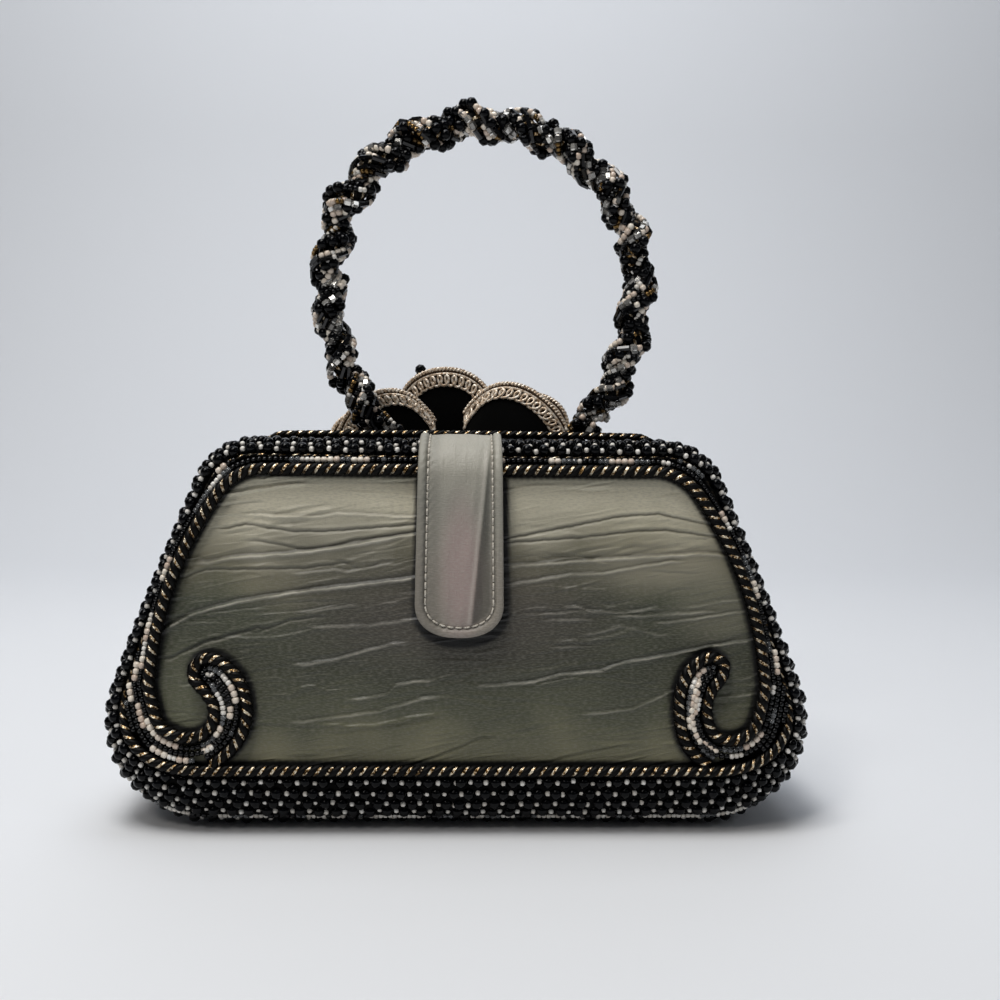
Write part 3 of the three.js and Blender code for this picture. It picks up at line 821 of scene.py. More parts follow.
FRONT_CREASES = (
    Crease(((-75.8, 102.6), (-66.3, 103.9)), -0.5, 1.4),
    Crease(((-66.8, 99.8), (-46.1, 99.1), (-38.8, 100.4), (-13.7, 99.3)), 0.5, 1.5),
    Crease(((-74.1, 95.6), (-68.4, 97.0), (-53.3, 94.9), (-42.2, 95.0), (-13.7, 97.4)), -0.75, 1.5),
    Crease(((-63.4, 91.7), (-49.4, 89.3), (-42.1, 90.0), (-33.6, 92.3), (-13.6, 94.9)), -0.6, 1.4),
    Crease(((-79.8, 84.6), (-71.9, 86.3), (-53.1, 87.7), (-36.1, 90.1), (-13.6, 94.3)), 0.9, 2.0),
    Crease(((-87.0, 80.2), (-80.4, 82.7), (-49.2, 83.4), (-37.2, 85.1)), -0.6, 1.5),
    Crease(((-49.2, 81.6), (-39.7, 82.9), (-35.3, 82.3), (-23.3, 84.6)), 0.45, 1.3),
    Crease(((-97.4, 60.5), (-91.3, 64.9), (-83.5, 68.9), (-71.5, 72.2), (-52.8, 75.6), (-37.1, 77.6),
            (-13.4, 80.6)), 1.05, 1.8),
    Crease(((-63.3, 63.4), (-53.6, 67.2), (-45.4, 68.3)), -0.5, 1.4),
    Crease(((-47.6, 69.8), (-35.1, 71.8)), 0.5, 1.4),
    Crease(((-44.1, 65.2), (-28.4, 65.6), (-13.3, 67.9)), 0.4, 1.6),
    Crease(((-91.0, 54.9), (-80.4, 60.0), (-64.0, 64.6)), -0.75, 1.7),
    Crease(((-48.0, 53.4), (-38.6, 55.0), (-32.0, 57.2), (-20.4, 60.1)), 0.6, 1.5),
    Crease(((-30.6, 42.9), (-22.8, 44.2), (-19.7, 47.4), (-12.5, 48.6)), 0.5, 1.4),
    Crease(((-48.4, 35.6), (-25.3, 38.9), (-10.3, 43.3)), 0.5, 1.6),
    Crease(((14.3, 92.9), (40.6, 98.1), (51.9, 100.3), (63.5, 101.0), (80.4, 97.6)), -0.85, 1.5),
    Crease(((14.3, 91.7), (44.4, 94.0), (55.4, 95.6), (66.4, 95.9), (82.6, 93.7)), -0.75, 1.5),
    Crease(((14.4, 84.2), (35.7, 85.8), (57.9, 87.1), (79.0, 88.3), (85.2, 87.7)), 0.8, 1.8),
    Crease(((14.4, 78.3), (35.0, 81.7), (45.3, 82.1), (67.6, 85.8)), 0.6, 1.5),
    Crease(((23.0, 69.4), (31.4, 69.7), (37.6, 70.4)), 0.4, 1.2),
    Crease(((29.1, 67.6), (39.0, 67.8)), 0.45, 1.2),
    Crease(((37.6, 71.8), (42.1, 70.3), (53.4, 69.9), (60.8, 71.1)), 0.6, 1.3),
    Crease(((53.2, 68.9), (61.3, 68.9), (80.1, 70.0)), 0.55, 1.5),
    Crease(((66.1, 66.7), (74.8, 67.8), (93.0, 70.3)), 0.6, 1.3),
    Crease(((76.2, 71.6), (81.9, 72.9), (89.6, 73.8)), 0.4, 1.2),
    Crease(((32.3, 59.2), (38.1, 59.4)), 0.35, 1.2),
    Crease(((42.3, 63.3), (51.6, 65.8), (63.1, 62.9)), 0.35, 1.5),
    Crease(((10.1, 47.1), (23.7, 48.4), (31.9, 50.6), (45.2, 51.8), (51.6, 54.3), (67.3, 56.7),
            (80.9, 59.3), (95.2, 61.2)), 0.8, 1.4),
    Crease(((42.4, 38.3), (55.1, 39.8), (67.2, 45.1)), 0.5, 1.5),
    Crease(((84.6, 43.4), (96.3, 44.2)), 0.4, 1.5),
    Crease(((90.4, 48.9), (97.2, 50.6)), 0.4, 1.3),
)


@dataclass(frozen=True)
class SilkPanel:
    """Crinkled silk stretched over one face of the body."""

    form: BagForm
    side: int
    creases: tuple[Crease, ...] = ()
    cords: tuple[tuple[Array, float], ...] = ()
    columns: int = 220
    inner_columns: int = 14
    rows: int = 310
    wall: float = 1.9
    edge_fade: float = 4.0
    end_taper: float = 6.0
    width_share: float = 0.27
    height_share: float = 0.82
    crest: float = 0.15
    step_share: float = 0.5
    waver: float = 0.07
    waver_slow: float = 0.8
    waver_fast: float = 2.1
    waver_fast_share: float = 0.7
    hollow_at: float = 2.2
    hollow_half: float = 1.4
    # Painted shade and painted light along the folds
    fold_shade: float = 0.6
    ridge_light: FoldLight = FoldLight(1.9, -0.1, 0.95)
    valley_light: FoldLight = FoldLight(0.2, -1.7, 0.5)
    light_half: float = 0.8
    light_mean: float = 0.72
    light_swing: float = 0.28
    light_wave: float = 0.33
    light_least: float = 0.05
    crinkles: int = 210
    crinkle_reach: float = 98.0
    crinkle_room: Pair = (3.0, 2.0)
    crinkle_height: float = 0.24
    crinkle_length: Pair = (7.0, 30.0)
    crinkle_width: Pair = (1.0, 2.2)
    crinkle_slope: float = 0.13
    crinkle_slope_spread: float = 0.12
    crinkle_bend: float = 1.1
    crinkle_corners: int = 5
    shade_width: float = 1.4
    shade_step: int = 3
    edge_inset: float = 0.02
    cut_room: float = 1.06

    def above_line(self, x: Array, z: Array, line: Array) -> Array:
        """Return the height over a fold's line, which wavers a little in two sines on its way.

        Args:
            x: across the panel.
            z: up the panel.
            line: corners of the fold, left to right.

        Returns:
            Height over the line, below 0 under it.
        """
        phase = float(line[0].sum())
        fast = self.waver_fast_share * np.sin(self.waver_fast * x - 2.0 * phase)
        waver = np.sin(self.waver_slow * x + phase) + fast
        return z - np.interp(x, line[:, 0], line[:, 1]) - self.waver * waver

    def end_fade(self, x: Array, line: Array) -> Array:
        """Return 1 between the ends of a fold, and less from there to 0 a taper past them."""
        return smooth(np.minimum(x - line[0, 0], line[-1, 0] - x) / self.end_taper + 1.0)

    def line_relief(self, x: Array, z: Array, line: Array, height: float, width: float) -> Array:
        """Press one fold into the silk.

        Across the line it is a sharp ridge, height exp(c - sqrt((d/w)^2 + c^2)), with a hollow on
        its upper side, and it fades towards both ends.

        Args:
            x: across the panel.
            z: up the panel.
            line: corners of the fold, left to right.
            height: height of the ridge, below zero for a valley.
            width: half width of the ridge.

        Returns:
            Relief at each point.
        """
        off = self.above_line(x, z, line)
        narrow = width * self.width_share
        ridge = np.exp(self.crest - np.sqrt((off / narrow) ** 2 + self.crest ** 2))
        from_hollow = (off - self.hollow_at * narrow) / (self.hollow_half * narrow)
        hollow = -self.step_share * np.exp(-from_hollow ** 2)
        return self.height_share * height * (ridge + hollow) * self.end_fade(x, line)

    def crinkle_lines(self) -> list[tuple[Array, float, float]]:
        """Scatter short fine folds over the panel, nearly level, from a fixed seed.

        Returns:
            Line, height and half width of each fold.
        """
        rng = np.random.default_rng(PANEL_SEED + self.side)
        below, above = self.crinkle_room
        count = self.crinkles
        x = rng.uniform(-self.crinkle_reach, self.crinkle_reach, count)
        z = rng.uniform(self.form.panel_bottom + below, self.form.panel_top - above, count)
        length = rng.uniform(*self.crinkle_length, count)
        slope = rng.normal(self.crinkle_slope, self.crinkle_slope_spread, count)
        bend = rng.normal(0.0, self.crinkle_bend, count)
        height = rng.normal(0.0, self.crinkle_height, count)
        width = rng.uniform(*self.crinkle_width, count)
        t = np.linspace(-0.5, 0.5, self.crinkle_corners)
        across = x[:, None] + length[:, None] * t
        up = z[:, None] + length[:, None] * t * slope[:, None] + bend[:, None] * (1.0 - 4.0 * t ** 2)
        return [(np.stack([a, u], axis=1), h, w) for a, u, h, w in zip(across, up, height, width)]

    def relief(self, x: Array, z: Array) -> Array:
        """Add up the pressed folds and the fine crinkles.

        Args:
            x: across the panel.
            z: up the panel.

        Returns:
            Relief at each point.
        """
        total = np.zeros_like(x)
        for crease in self.creases:
            total += self.line_relief(x, z, np.array(crease.line), crease.height, crease.width)
        for line, height, width in self.crinkle_lines():
            total += self.line_relief(x, z, line, height, width)
        return total

    def painted_fold_light(self, x: Array, z: Array) -> Array:
        """Return the painted light and shade on the folds: over 1 on a ridge or below a valley, under 1 above
        a ridge.

        Each is a bell over the distance from the fold's line, as strong as the fold is high.

        Args:
            x: across the panel.
            z: up the panel.

        Returns:
            1 clear of the folds, down to 0 in painted shade and up to 2 in painted light on a crest.
        """
        dark = np.ones_like(x)
        light = np.zeros_like(x)
        for crease in self.creases:
            line = np.array(crease.line)
            narrow = crease.width * self.width_share
            off = self.above_line(x, z, line) / narrow
            fold = self.ridge_light if crease.height > 0.0 else self.valley_light
            strength = min(1.0, abs(crease.height)) * self.end_fade(x, line)
            dark *= 1.0 - self.fold_shade * strength * np.exp(-(off - fold.dark_at) ** 2)
            uneven = self.light_mean + self.light_swing * np.sin(self.light_wave * x + line[0].sum())
            crest = uneven * np.exp(-((off - fold.light_at) / self.light_half) ** 2)
            light = np.maximum(light, strength * crest * fold.strength)
        return np.where(light > self.light_least, dark + light, dark)

    def shade(self, x: Array, z: Array) -> Array:
        """Return painted shade: 0 under a cord or the tab's shadow line and 1 clear of it, by the distance to
        the nearest line's edge.

        Args:
            x: across the panel.
            z: up the panel.

        Returns:
            Painted shade at each point.
        """
        clear = np.full_like(x, self.shade_width)
        for path, radius in self.cords:
            line = path[::self.shade_step]
            gaps = [np.hypot(row_x[:, None] - line[:, 0], row_z[:, None] - line[:, 2]).min(axis=1)
                    for row_x, row_z in zip(x, z)]
            clear = np.minimum(clear, np.stack(gaps) - radius)
        return smooth(clear / self.shade_width)

    def cut(self) -> Pair:
        """Return the width and height of the rectangle that the panel is cut from.

        Returns:
            Width and height, with room for the crinkles.
        """
        tuck = self.form.panel_tuck
        z = np.linspace(self.form.panel_bottom - tuck, self.form.panel_top + tuck, self.rows)
        return 2.0 * float(self.form.panel_half(z).max()) * self.cut_room, (z[-1] - z[0]) * self.cut_room

    def surface(self) -> Surface:
        """Lay the silk on its face and close it with a plain inner wall.

        Rows run up the panel and columns across it. The depth is the crowned face plus the
        relief, which fades at the panel's edge.

        Returns:
            The closed wall, with UV in millimetres across and up.
        """
        tuck = self.form.panel_tuck - self.edge_inset
        z = np.linspace(self.form.panel_bottom - tuck, self.form.panel_top + tuck, self.rows)
        half = self.form.panel_half(z)
        share = np.linspace(-1.0, 1.0, self.columns)
        x = half[:, None] * share[None, :]
        height = np.broadcast_to(z[:, None], x.shape)
        room = np.minimum(half[:, None] - np.abs(x), np.minimum(z - z[0], z[-1] - z)[:, None])
        lift = self.relief(x, height) * smooth(room / self.edge_fade)
        face = self.form.on_face(self.side, x, height, lift)
        inner_x = half[:, None] * np.linspace(1.0, -1.0, self.inner_columns)[None, :]
        inner_z = np.broadcast_to(z[:, None], inner_x.shape)
        inner = self.form.on_face(self.side, inner_x, inner_z, -self.wall)
        flat = np.stack([np.concatenate([x, inner_x], axis=1), np.concatenate([height, inner_z], axis=1)],
                        axis=-1)
        skin = lofted(np.concatenate([face, inner], axis=1))
        skin.uv = np.concatenate([flat.reshape(-1, 2), skin.uv[-2:]])
        # Tone of the face: painted shade beside the cords and under the tab, times painted light and shade on
        # the folds
        painted_light_and_shade = self.shade(x, height) * self.painted_fold_light(x, height)
        tone = np.concatenate([painted_light_and_shade, np.ones_like(inner_x)], axis=1)
        skin.tone = np.concatenate([tone.ravel(), [0.0, 0.0]])
        return skin


# Beads

class Bead(Enum):
    """Kinds of bead on the bag."""

    JET = "jet"
    WHITE = "white"
    CREAM = "cream"
    BLACK = "black"
    CLEAR = "clear"
    SILVER = "silver"
    BUGLE = "bugle"
    GOLD = "gold"


@dataclass(frozen=True)
class BeadShape:
    """A turned bead: its length along the hole, its diameter, and its profile in shares of them."""

    length: float
    diameter: float
    profile: Corners
    pole: float
    sides: int
    is_smooth: bool

    def template(self) -> tuple[Array, list[Array]]:
        """Turn the profile about the X axis: x = a length, radius = r diameter, with two poles.

        Returns:
            Points and face blocks of one bead.
        """
        profile = np.array(self.profile)
        angle = np.arange(self.sides) / self.sides * TURN
        ring = np.stack([0.0 * angle, np.cos(angle), np.sin(angle)], axis=1)
        rings = profile[:, None, 1:] * self.diameter * ring[None]
        rings[:, :, 0] = profile[:, :1] * self.length
        skin = lofted(rings)
        skin.points[-2:, 0] = np.array([-self.pole, self.pole]) * self.length
        return skin.points, skin.outward().faces


ROUND_PROFILE = ((-0.455, 0.2), (-0.29, 0.41), (0.0, 0.5), (0.29, 0.41), (0.455, 0.2))
SEED_PROFILE = ((-0.5, 0.26), (-0.27, 0.48), (0.27, 0.48), (0.5, 0.26))
CUT_PROFILE = ((-0.5, 0.36), (-0.34, 0.5), (0.34, 0.5), (0.5, 0.36))
BUGLE_PROFILE = ((-0.5, 0.4), (-0.46, 0.5), (0.46, 0.5), (0.5, 0.4))

BEAD_SHAPES = {
    Bead.JET: BeadShape(3.8, 4.0, ROUND_PROFILE, 0.44, 8, True),
    Bead.WHITE: BeadShape(1.5, 1.85, SEED_PROFILE, 0.38, 6, True),
    Bead.CREAM: BeadShape(2.0, 2.3, SEED_PROFILE, 0.4, 6, True),
    Bead.BLACK: BeadShape(1.7, 2.0, SEED_PROFILE, 0.38, 6, True),
    Bead.CLEAR: BeadShape(1.7, 2.0, SEED_PROFILE, 0.38, 6, True),
    Bead.SILVER: BeadShape(2.4, 2.5, CUT_PROFILE, 0.42, 6, False),
    Bead.BUGLE: BeadShape(4.4, 1.8, BUGLE_PROFILE, 0.46, 6, False),
    Bead.GOLD: BeadShape(1.5, 1.9, SEED_PROFILE, 0.38, 6, True),
}


@dataclass(frozen=True)
class BeadMix:
    """Kinds on a strand, how often each is picked up, and how many go on at a time."""

    kinds: tuple[Bead, ...]
    weights: tuple[float, ...]
    runs: tuple[Counts, ...]
    spacing: float = 1.02

    def strung(self, length: float, rng: np.random.Generator) -> tuple[Array, Array]:
        """String random runs of beads up to a length.

        Args:
            length: length of the strand.
            rng: source of the random runs.

        Returns:
            The number of each bead's kind, and its place along the strand.
        """
        sizes = np.array([BEAD_SHAPES[kind].length for kind in self.kinds])
        count = int(length / sizes.min()) + 2
        chance = np.array(self.weights) / sum(self.weights)
        picked = rng.choice(len(self.kinds), count, p=chance)
        low = np.array([run[0] for run in self.runs])[picked]
        high = np.array([run[1] for run in self.runs])[picked]
        order = np.repeat(picked, rng.integers(low, high + 1))
        ends = np.cumsum(sizes[order] * self.spacing)
        keep = ends < length
        return order[keep], (ends - sizes[order] / 2.0)[keep]


SEED_MIX = BeadMix((Bead.WHITE, Bead.CREAM, Bead.BLACK, Bead.CLEAR), (0.18, 0.22, 0.4, 0.2),
                   ((1, 3), (2, 5), (2, 6), (1, 3)))
SCROLL_MIX = BeadMix((Bead.WHITE, Bead.CREAM, Bead.BLACK, Bead.CLEAR), (0.12, 0.15, 0.5, 0.23),
                     ((1, 3), (2, 4), (2, 6), (1, 3)))
EDGE_MIX = BeadMix((Bead.WHITE, Bead.BLACK, Bead.CLEAR, Bead.JET), (0.42, 0.26, 0.26, 0.06),
                   ((1, 4), (1, 3), (1, 3), (1, 1)))
HANDLE_MIX = BeadMix((Bead.JET, Bead.CREAM, Bead.SILVER, Bead.BUGLE, Bead.GOLD, Bead.BLACK, Bead.WHITE),
                     (0.16, 0.23, 0.18, 0.17, 0.07, 0.12, 0.07),
                     ((1, 2), (1, 2), (1, 2), (1, 2), (2, 3), (1, 3), (1, 2)))
STAMEN_MIX = BeadMix((Bead.BLACK,), (1.0,), ((3, 6),))


@dataclass
class BeadTray:
    """Beads laid out by kind, until they are poured into one mesh a kind."""

    rng: np.random.Generator
    size_jitter: float = 0.045
    jitter_limits: Pair = (-2.0, 1.5)
    steep: float = 0.8
    places: dict[Bead, list[tuple[Array, Array]]] = field(default_factory=dict)

    def lay(self, kind: Bead, centres: Array, axes: Array) -> None:
        """Add beads of one kind at their centres, with their holes along the axes."""
        if len(centres):
            self.places.setdefault(kind, []).append((centres, axes))

    def string(self, path: Array, mix: BeadMix, keep: Array | None = None) -> None:
        """String a mix of beads along a path.

        Args:
            path: line of the thread.
            mix: kinds and runs.
            keep: for each point of the path, one where beads may sit and zero elsewhere.
        """
        lengths = run_lengths(path)
        order, places = mix.strung(lengths[-1], self.rng)
        centres, axes = along_path(path, places)
        room = np.ones(len(places)) if keep is None else np.interp(places, lengths, keep.astype(float))
        for number, kind in enumerate(mix.kinds):
            chosen = (order == number) & (room > HAS_ROOM)
            self.lay(kind, centres[chosen], axes[chosen])

    def poured(self, kind: Bead) -> Surface:
        """Set a copy of the template at every place of one kind.

        A copy is centre + x axis + size (y across + z up), rolled at random about its hole.

        Args:
            kind: kind of bead.

        Returns:
            All beads of that kind, with a random tone for each bead.
        """
        points, faces = BEAD_SHAPES[kind].template()
        centres = np.concatenate([place[0] for place in self.places[kind]])
        axes = unit(np.concatenate([place[1] for place in self.places[kind]]))
        count = len(centres)
        guide = np.where(np.abs(axes[:, 1:2]) > self.steep, GUIDE_X[None], GUIDE_Y[None])
        first, second = cross_axes(axes, guide)
        roll = self.rng.uniform(0.0, TURN, (count, 1))
        across = first * np.cos(roll) + second * np.sin(roll)
        up = np.cross(axes, across)
        size = 1.0 + self.size_jitter * np.clip(self.rng.normal(0.0, 1.0, (count, 1)), *self.jitter_limits)
        section = points[None, :, 1:2] * across[:, None] + points[None, :, 2:] * up[:, None]
        copies = centres[:, None] + points[None, :, :1] * axes[:, None] + size[:, None] * section
        starts = np.arange(count)[:, None, None] * len(points)
        blocks = [(block[None] + starts).reshape(-1, block.shape[1]) for block in faces]
        tone = np.repeat(self.rng.uniform(0.0, 1.0, count), len(points))
        return Surface(copies.reshape(-1, 3), blocks, None, tone)

    def pour(self, prefix: str, finishes: dict[Bead, Material], replaces: Sequence[str] = ()) -> None:
        """Make a piece of every kind in the tray.

        Args:
            prefix: start of the pieces' names.
            finishes: material of each kind.
            replaces: nodes of the frame that the first piece stands for.
        """
        for number, kind in enumerate(kind for kind in Bead if kind in self.places):
            put(f"{prefix}_{kind.value}_beads", self.poured(kind), finishes[kind],
                BEAD_SHAPES[kind].is_smooth, replaces if number == 0 else ())


@dataclass
class BeadedBand:
    """Rows of round beads and seeds on a dark woven backing, round one half of the body."""

    form: BagForm
    side: int
    rng: np.random.Generator
    stations: int = 2400
    row_spacing: float = 4.05
    first_row_base: float = 1.85
    first_row_side: float = 0.5
    tab_half: float = 13.0
    tab_height: float = 100.0
    pitch: float = 5.5
    base_depth: float = 2.5
    side_depth: float = 1.4
    base_height: float = 24.0
    split_room: float = 1.3
    last_row: int = 14
    edge_row: int = 4
    jitter: float = 0.5
    drift_share: float = 0.25
    row_start: float = 0.3
    row_shift: float = 0.5
    phase_jitter: float = 0.12
    row_steps: Counts = (48, 24)
    jet_loose: float = 0.1
    seed_loose: float = 0.26
    tilt: float = 0.22
    backing_depth: float = 2.4
    backing_stations: int = 240
    backing_steps: Counts = (10, 5)
    wall: float = 5.6
    wall_steps: Counts = (8, 4)
    ledge: float = 4.2
    end_front: float = 5.3
    end_back: float = 6.9

    def row_line(self, profile: Array, lengths: Array, distance: Array) -> tuple[Array, Array]:
        """Follow one row round the body at its distance below the ring cord.

        Args:
            profile: profiles of the band, by station.
            lengths: running lengths down each profile.
            distance: length down the profile, in a column with one for each station.

        Returns:
            The row's closed line, and where the profile is long enough to hold it.
        """
        after = np.clip(np.sum(lengths < distance, axis=1), 1, lengths.shape[1] - 1)[:, None]
        start = np.take_along_axis(lengths, after - 1, axis=1)
        end = np.take_along_axis(lengths, after, axis=1)
        share = np.clip((distance - start) / np.maximum(end - start, TINY), 0.0, 1.0)
        low = np.take_along_axis(profile, (after - 1)[:, :, None], axis=1)[:, 0]
        high = np.take_along_axis(profile, after[:, :, None], axis=1)[:, 0]
        line = lerp(low, high, share)
        is_under_tab = (np.abs(line[:, 0]) < self.tab_half) & (line[:, 2] > self.tab_height)
        has_room = lengths[:, -1] > distance[:, 0] + self.split_room
        return line, has_room & ~(is_under_tab & (self.side == FRONT))

    def lay_rows(self, tray: BeadTray) -> None:
        """Lay every row: a round bead and a seed to each pitch, half a pitch on in the next row.

        Args:
            tray: tray that takes the beads.
        """
        station = whole_round(self.stations, True)
        _, height = self.form.edge.at(station)
        depth = lerp(self.base_depth, self.side_depth, smooth(height / self.base_height))
        profile = self.form.band_profile(self.side, station, depth[:, None], *self.row_steps)
        steps = np.linalg.norm(np.diff(profile, axis=1), axis=2)
        lengths = np.concatenate([np.zeros((len(station), 1)), np.cumsum(steps, axis=1)], axis=1)
        above = smooth(height / self.base_height - 1.0)
        first_row = lerp(self.first_row_base, self.first_row_side, above)[:, None]
        for row in range(self.last_row):
            line, has_room = self.row_line(profile, lengths, first_row + row * self.row_spacing)
            if not has_room.any():
                return
            if row == self.edge_row:
                tray.string(line, EDGE_MIX, has_room)
                continue
            total = run_lengths(line)[-1]
            count = int(round(total / self.pitch))
            phase = self.row_shift * (row % 2) + self.rng.uniform(-self.phase_jitter, self.phase_jitter)
            drift = np.cumsum(self.rng.normal(0.0, self.jitter * self.drift_share, count))
            places = (np.arange(count) + phase + self.row_start) * total / count + drift - drift.mean()
            self.lay_units(tray, line, has_room, np.mod(places, total))

    def lay_units(self, tray: BeadTray, line: Array, has_room: Array, places: Array) -> None:
        """Lay a round bead at each place and a white seed half a pitch after it.

        Args:
            tray: tray that takes the beads.
            line: closed line of the row.
            has_room: where beads may sit on it.
            places: lengths along it.
        """
        lengths = run_lengths(line)
        for kind, shift, loose in ((Bead.JET, 0.0, self.jet_loose),
                                   (Bead.WHITE, self.pitch / 2.0, self.seed_loose)):
            spots = np.mod(places + shift, lengths[-1])
            keep = np.interp(spots, lengths, has_room.astype(float)) > HAS_ROOM
            centres, axes = along_path(line, spots[keep])
            moved = centres + self.rng.normal(0.0, loose, centres.shape)
            moved[:, 2] = np.maximum(moved[:, 2], BEAD_SHAPES[kind].diameter / 2.0)
            tilted = self.rng.normal(0.0, self.tilt, axes.shape)
            tray.lay(kind, moved, unit(axes + tilted))

    def backing(self) -> Surface:
        """Close the woven backing under the beads, with the ledge that carries the cords.

        Each ring goes from the split along the flank and up the shoulder to the ring cord, over
        the ledge to the panel's edge, and back along the inner wall.

        Returns:
            The closed band.
        """
        form = self.form
        station = whole_round(self.backing_stations)
        outer = form.band_profile(self.side, station, self.backing_depth, *self.backing_steps)[:, ::-1]
        inner = form.band_profile(self.side, station, self.wall, *self.wall_steps)
        start = form.ring_cord_angle(self.side, station) - form.cord_clearance_angle
        ledge = form.shoulder(self.side, station, start, self.ledge)[:, None]
        ends = [self.panel_end(station, depth)[:, None] for depth in (self.end_front, self.end_back)]
        return lofted(np.concatenate([outer, ledge, *ends, inner], axis=1), is_loop=True)

    def panel_end(self, station: Array, depth: float) -> Array:
        """Return the band's edge beside the panel, at a depth behind the border cord's front.

        Args:
            station: stations of the outline.
            depth: depth behind the border cord's front.

        Returns:
            One point for each station.
        """
        edge_x, edge_z = self.form.edge.at(station)
        border_x, border_z = self.form.border.at(station)
        inset = np.hypot(border_x - edge_x, border_z - edge_z)
        share = 1.0 - (self.form.panel_tuck + self.form.gap) / inset
        y = self.side * (self.form.face_depth(border_z) + self.form.rope_stand - depth)
        return np.stack([lerp(edge_x, border_x, share), y, lerp(edge_z, border_z, share)], axis=1)


@dataclass(frozen=True)
class BorderSeeds:
    """Strands of seeds between the ring cord and the inner cord, and in the scrolls."""

    routes: CordRoutes
    first_offset: float = 3.0
    strand_pitch: float = 1.95
    strands: int = 7
    cord_room: float = 2.75
    strand_overlap: float = 2.2
    ring_room_base: float = 2.7
    ring_room_side: float = 0.2
    own_slack: float = 0.1
    side_from: float = 0.9
    sink: float = 0.1
    side_rise: float = 0.9

    def nearest(self, points: Array, line: Array) -> tuple[Array, Array]:
        """Return the distance in X and Z to the nearest point of a line, and its number.

        Args:
            points: points to measure from.
            line: points of the line.

        Returns:
            One distance and one number for each point.
        """
        gaps = np.hypot(points[:, None, 0] - line[None, :, 0], points[:, None, 2] - line[None, :, 2])
        number = np.argmin(gaps, axis=1)
        return gaps[np.arange(len(points)), number], number

    def lay(self, tray: BeadTray, inner: Array, ring: Array, mix: BeadMix, outside: float) -> None:
        """Lay strands beside the inner cord, wherever there is room before the ring cord.

        A strand is the cord's line moved along its normal in the face. Its depth lies between
        those of both cords, by their distances.

        Args:
            tray: tray that takes the seeds.
            inner: middle line of the inner cord.
            ring: middle line of the ring cord.
            mix: kinds and runs of the seeds.
            outside: which side of the line is the outer one, 1 or -1.
        """
        tangents = path_tangents(inner)
        normals = np.stack([-tangents[:, 2], 0.0 * tangents[:, 1], tangents[:, 0]], axis=1) * outside
        ring_tangents = path_tangents(ring, True)
        ring_out = np.stack([ring_tangents[:, 2], 0.0 * ring_tangents[:, 1], -ring_tangents[:, 0]], axis=1)
        for strand in range(self.strands):
            own = self.first_offset + strand * self.strand_pitch
            line = inner + normals * own
            to_cord, cord_at = self.nearest(line, inner)
            to_ring, ring_at = self.nearest(line, ring)
            is_inside = np.sum((line - ring[ring_at]) * ring_out[ring_at], axis=1) < 0.0
            above = self.routes.ring_taper(line[:, 2])
            room = lerp(self.ring_room_base, self.ring_room_side, above)
            least = max(min(self.cord_room, own - self.own_slack), own - self.strand_overlap)
            keep = to_cord > least
            keep &= ((to_ring > room) & is_inside) | ((strand == 0) & (above > self.side_from))
            side = np.sign(inner[:, 1].mean())
            depth = (ring[ring_at, 1] * to_cord + inner[cord_at, 1] * to_ring) / (to_cord + to_ring)
            stand = lerp(-self.sink, self.side_rise, above)
            line = np.stack([line[:, 0], depth + side * stand, line[:, 2]], axis=1)
            tray.string(line, mix, keep)


# Handle

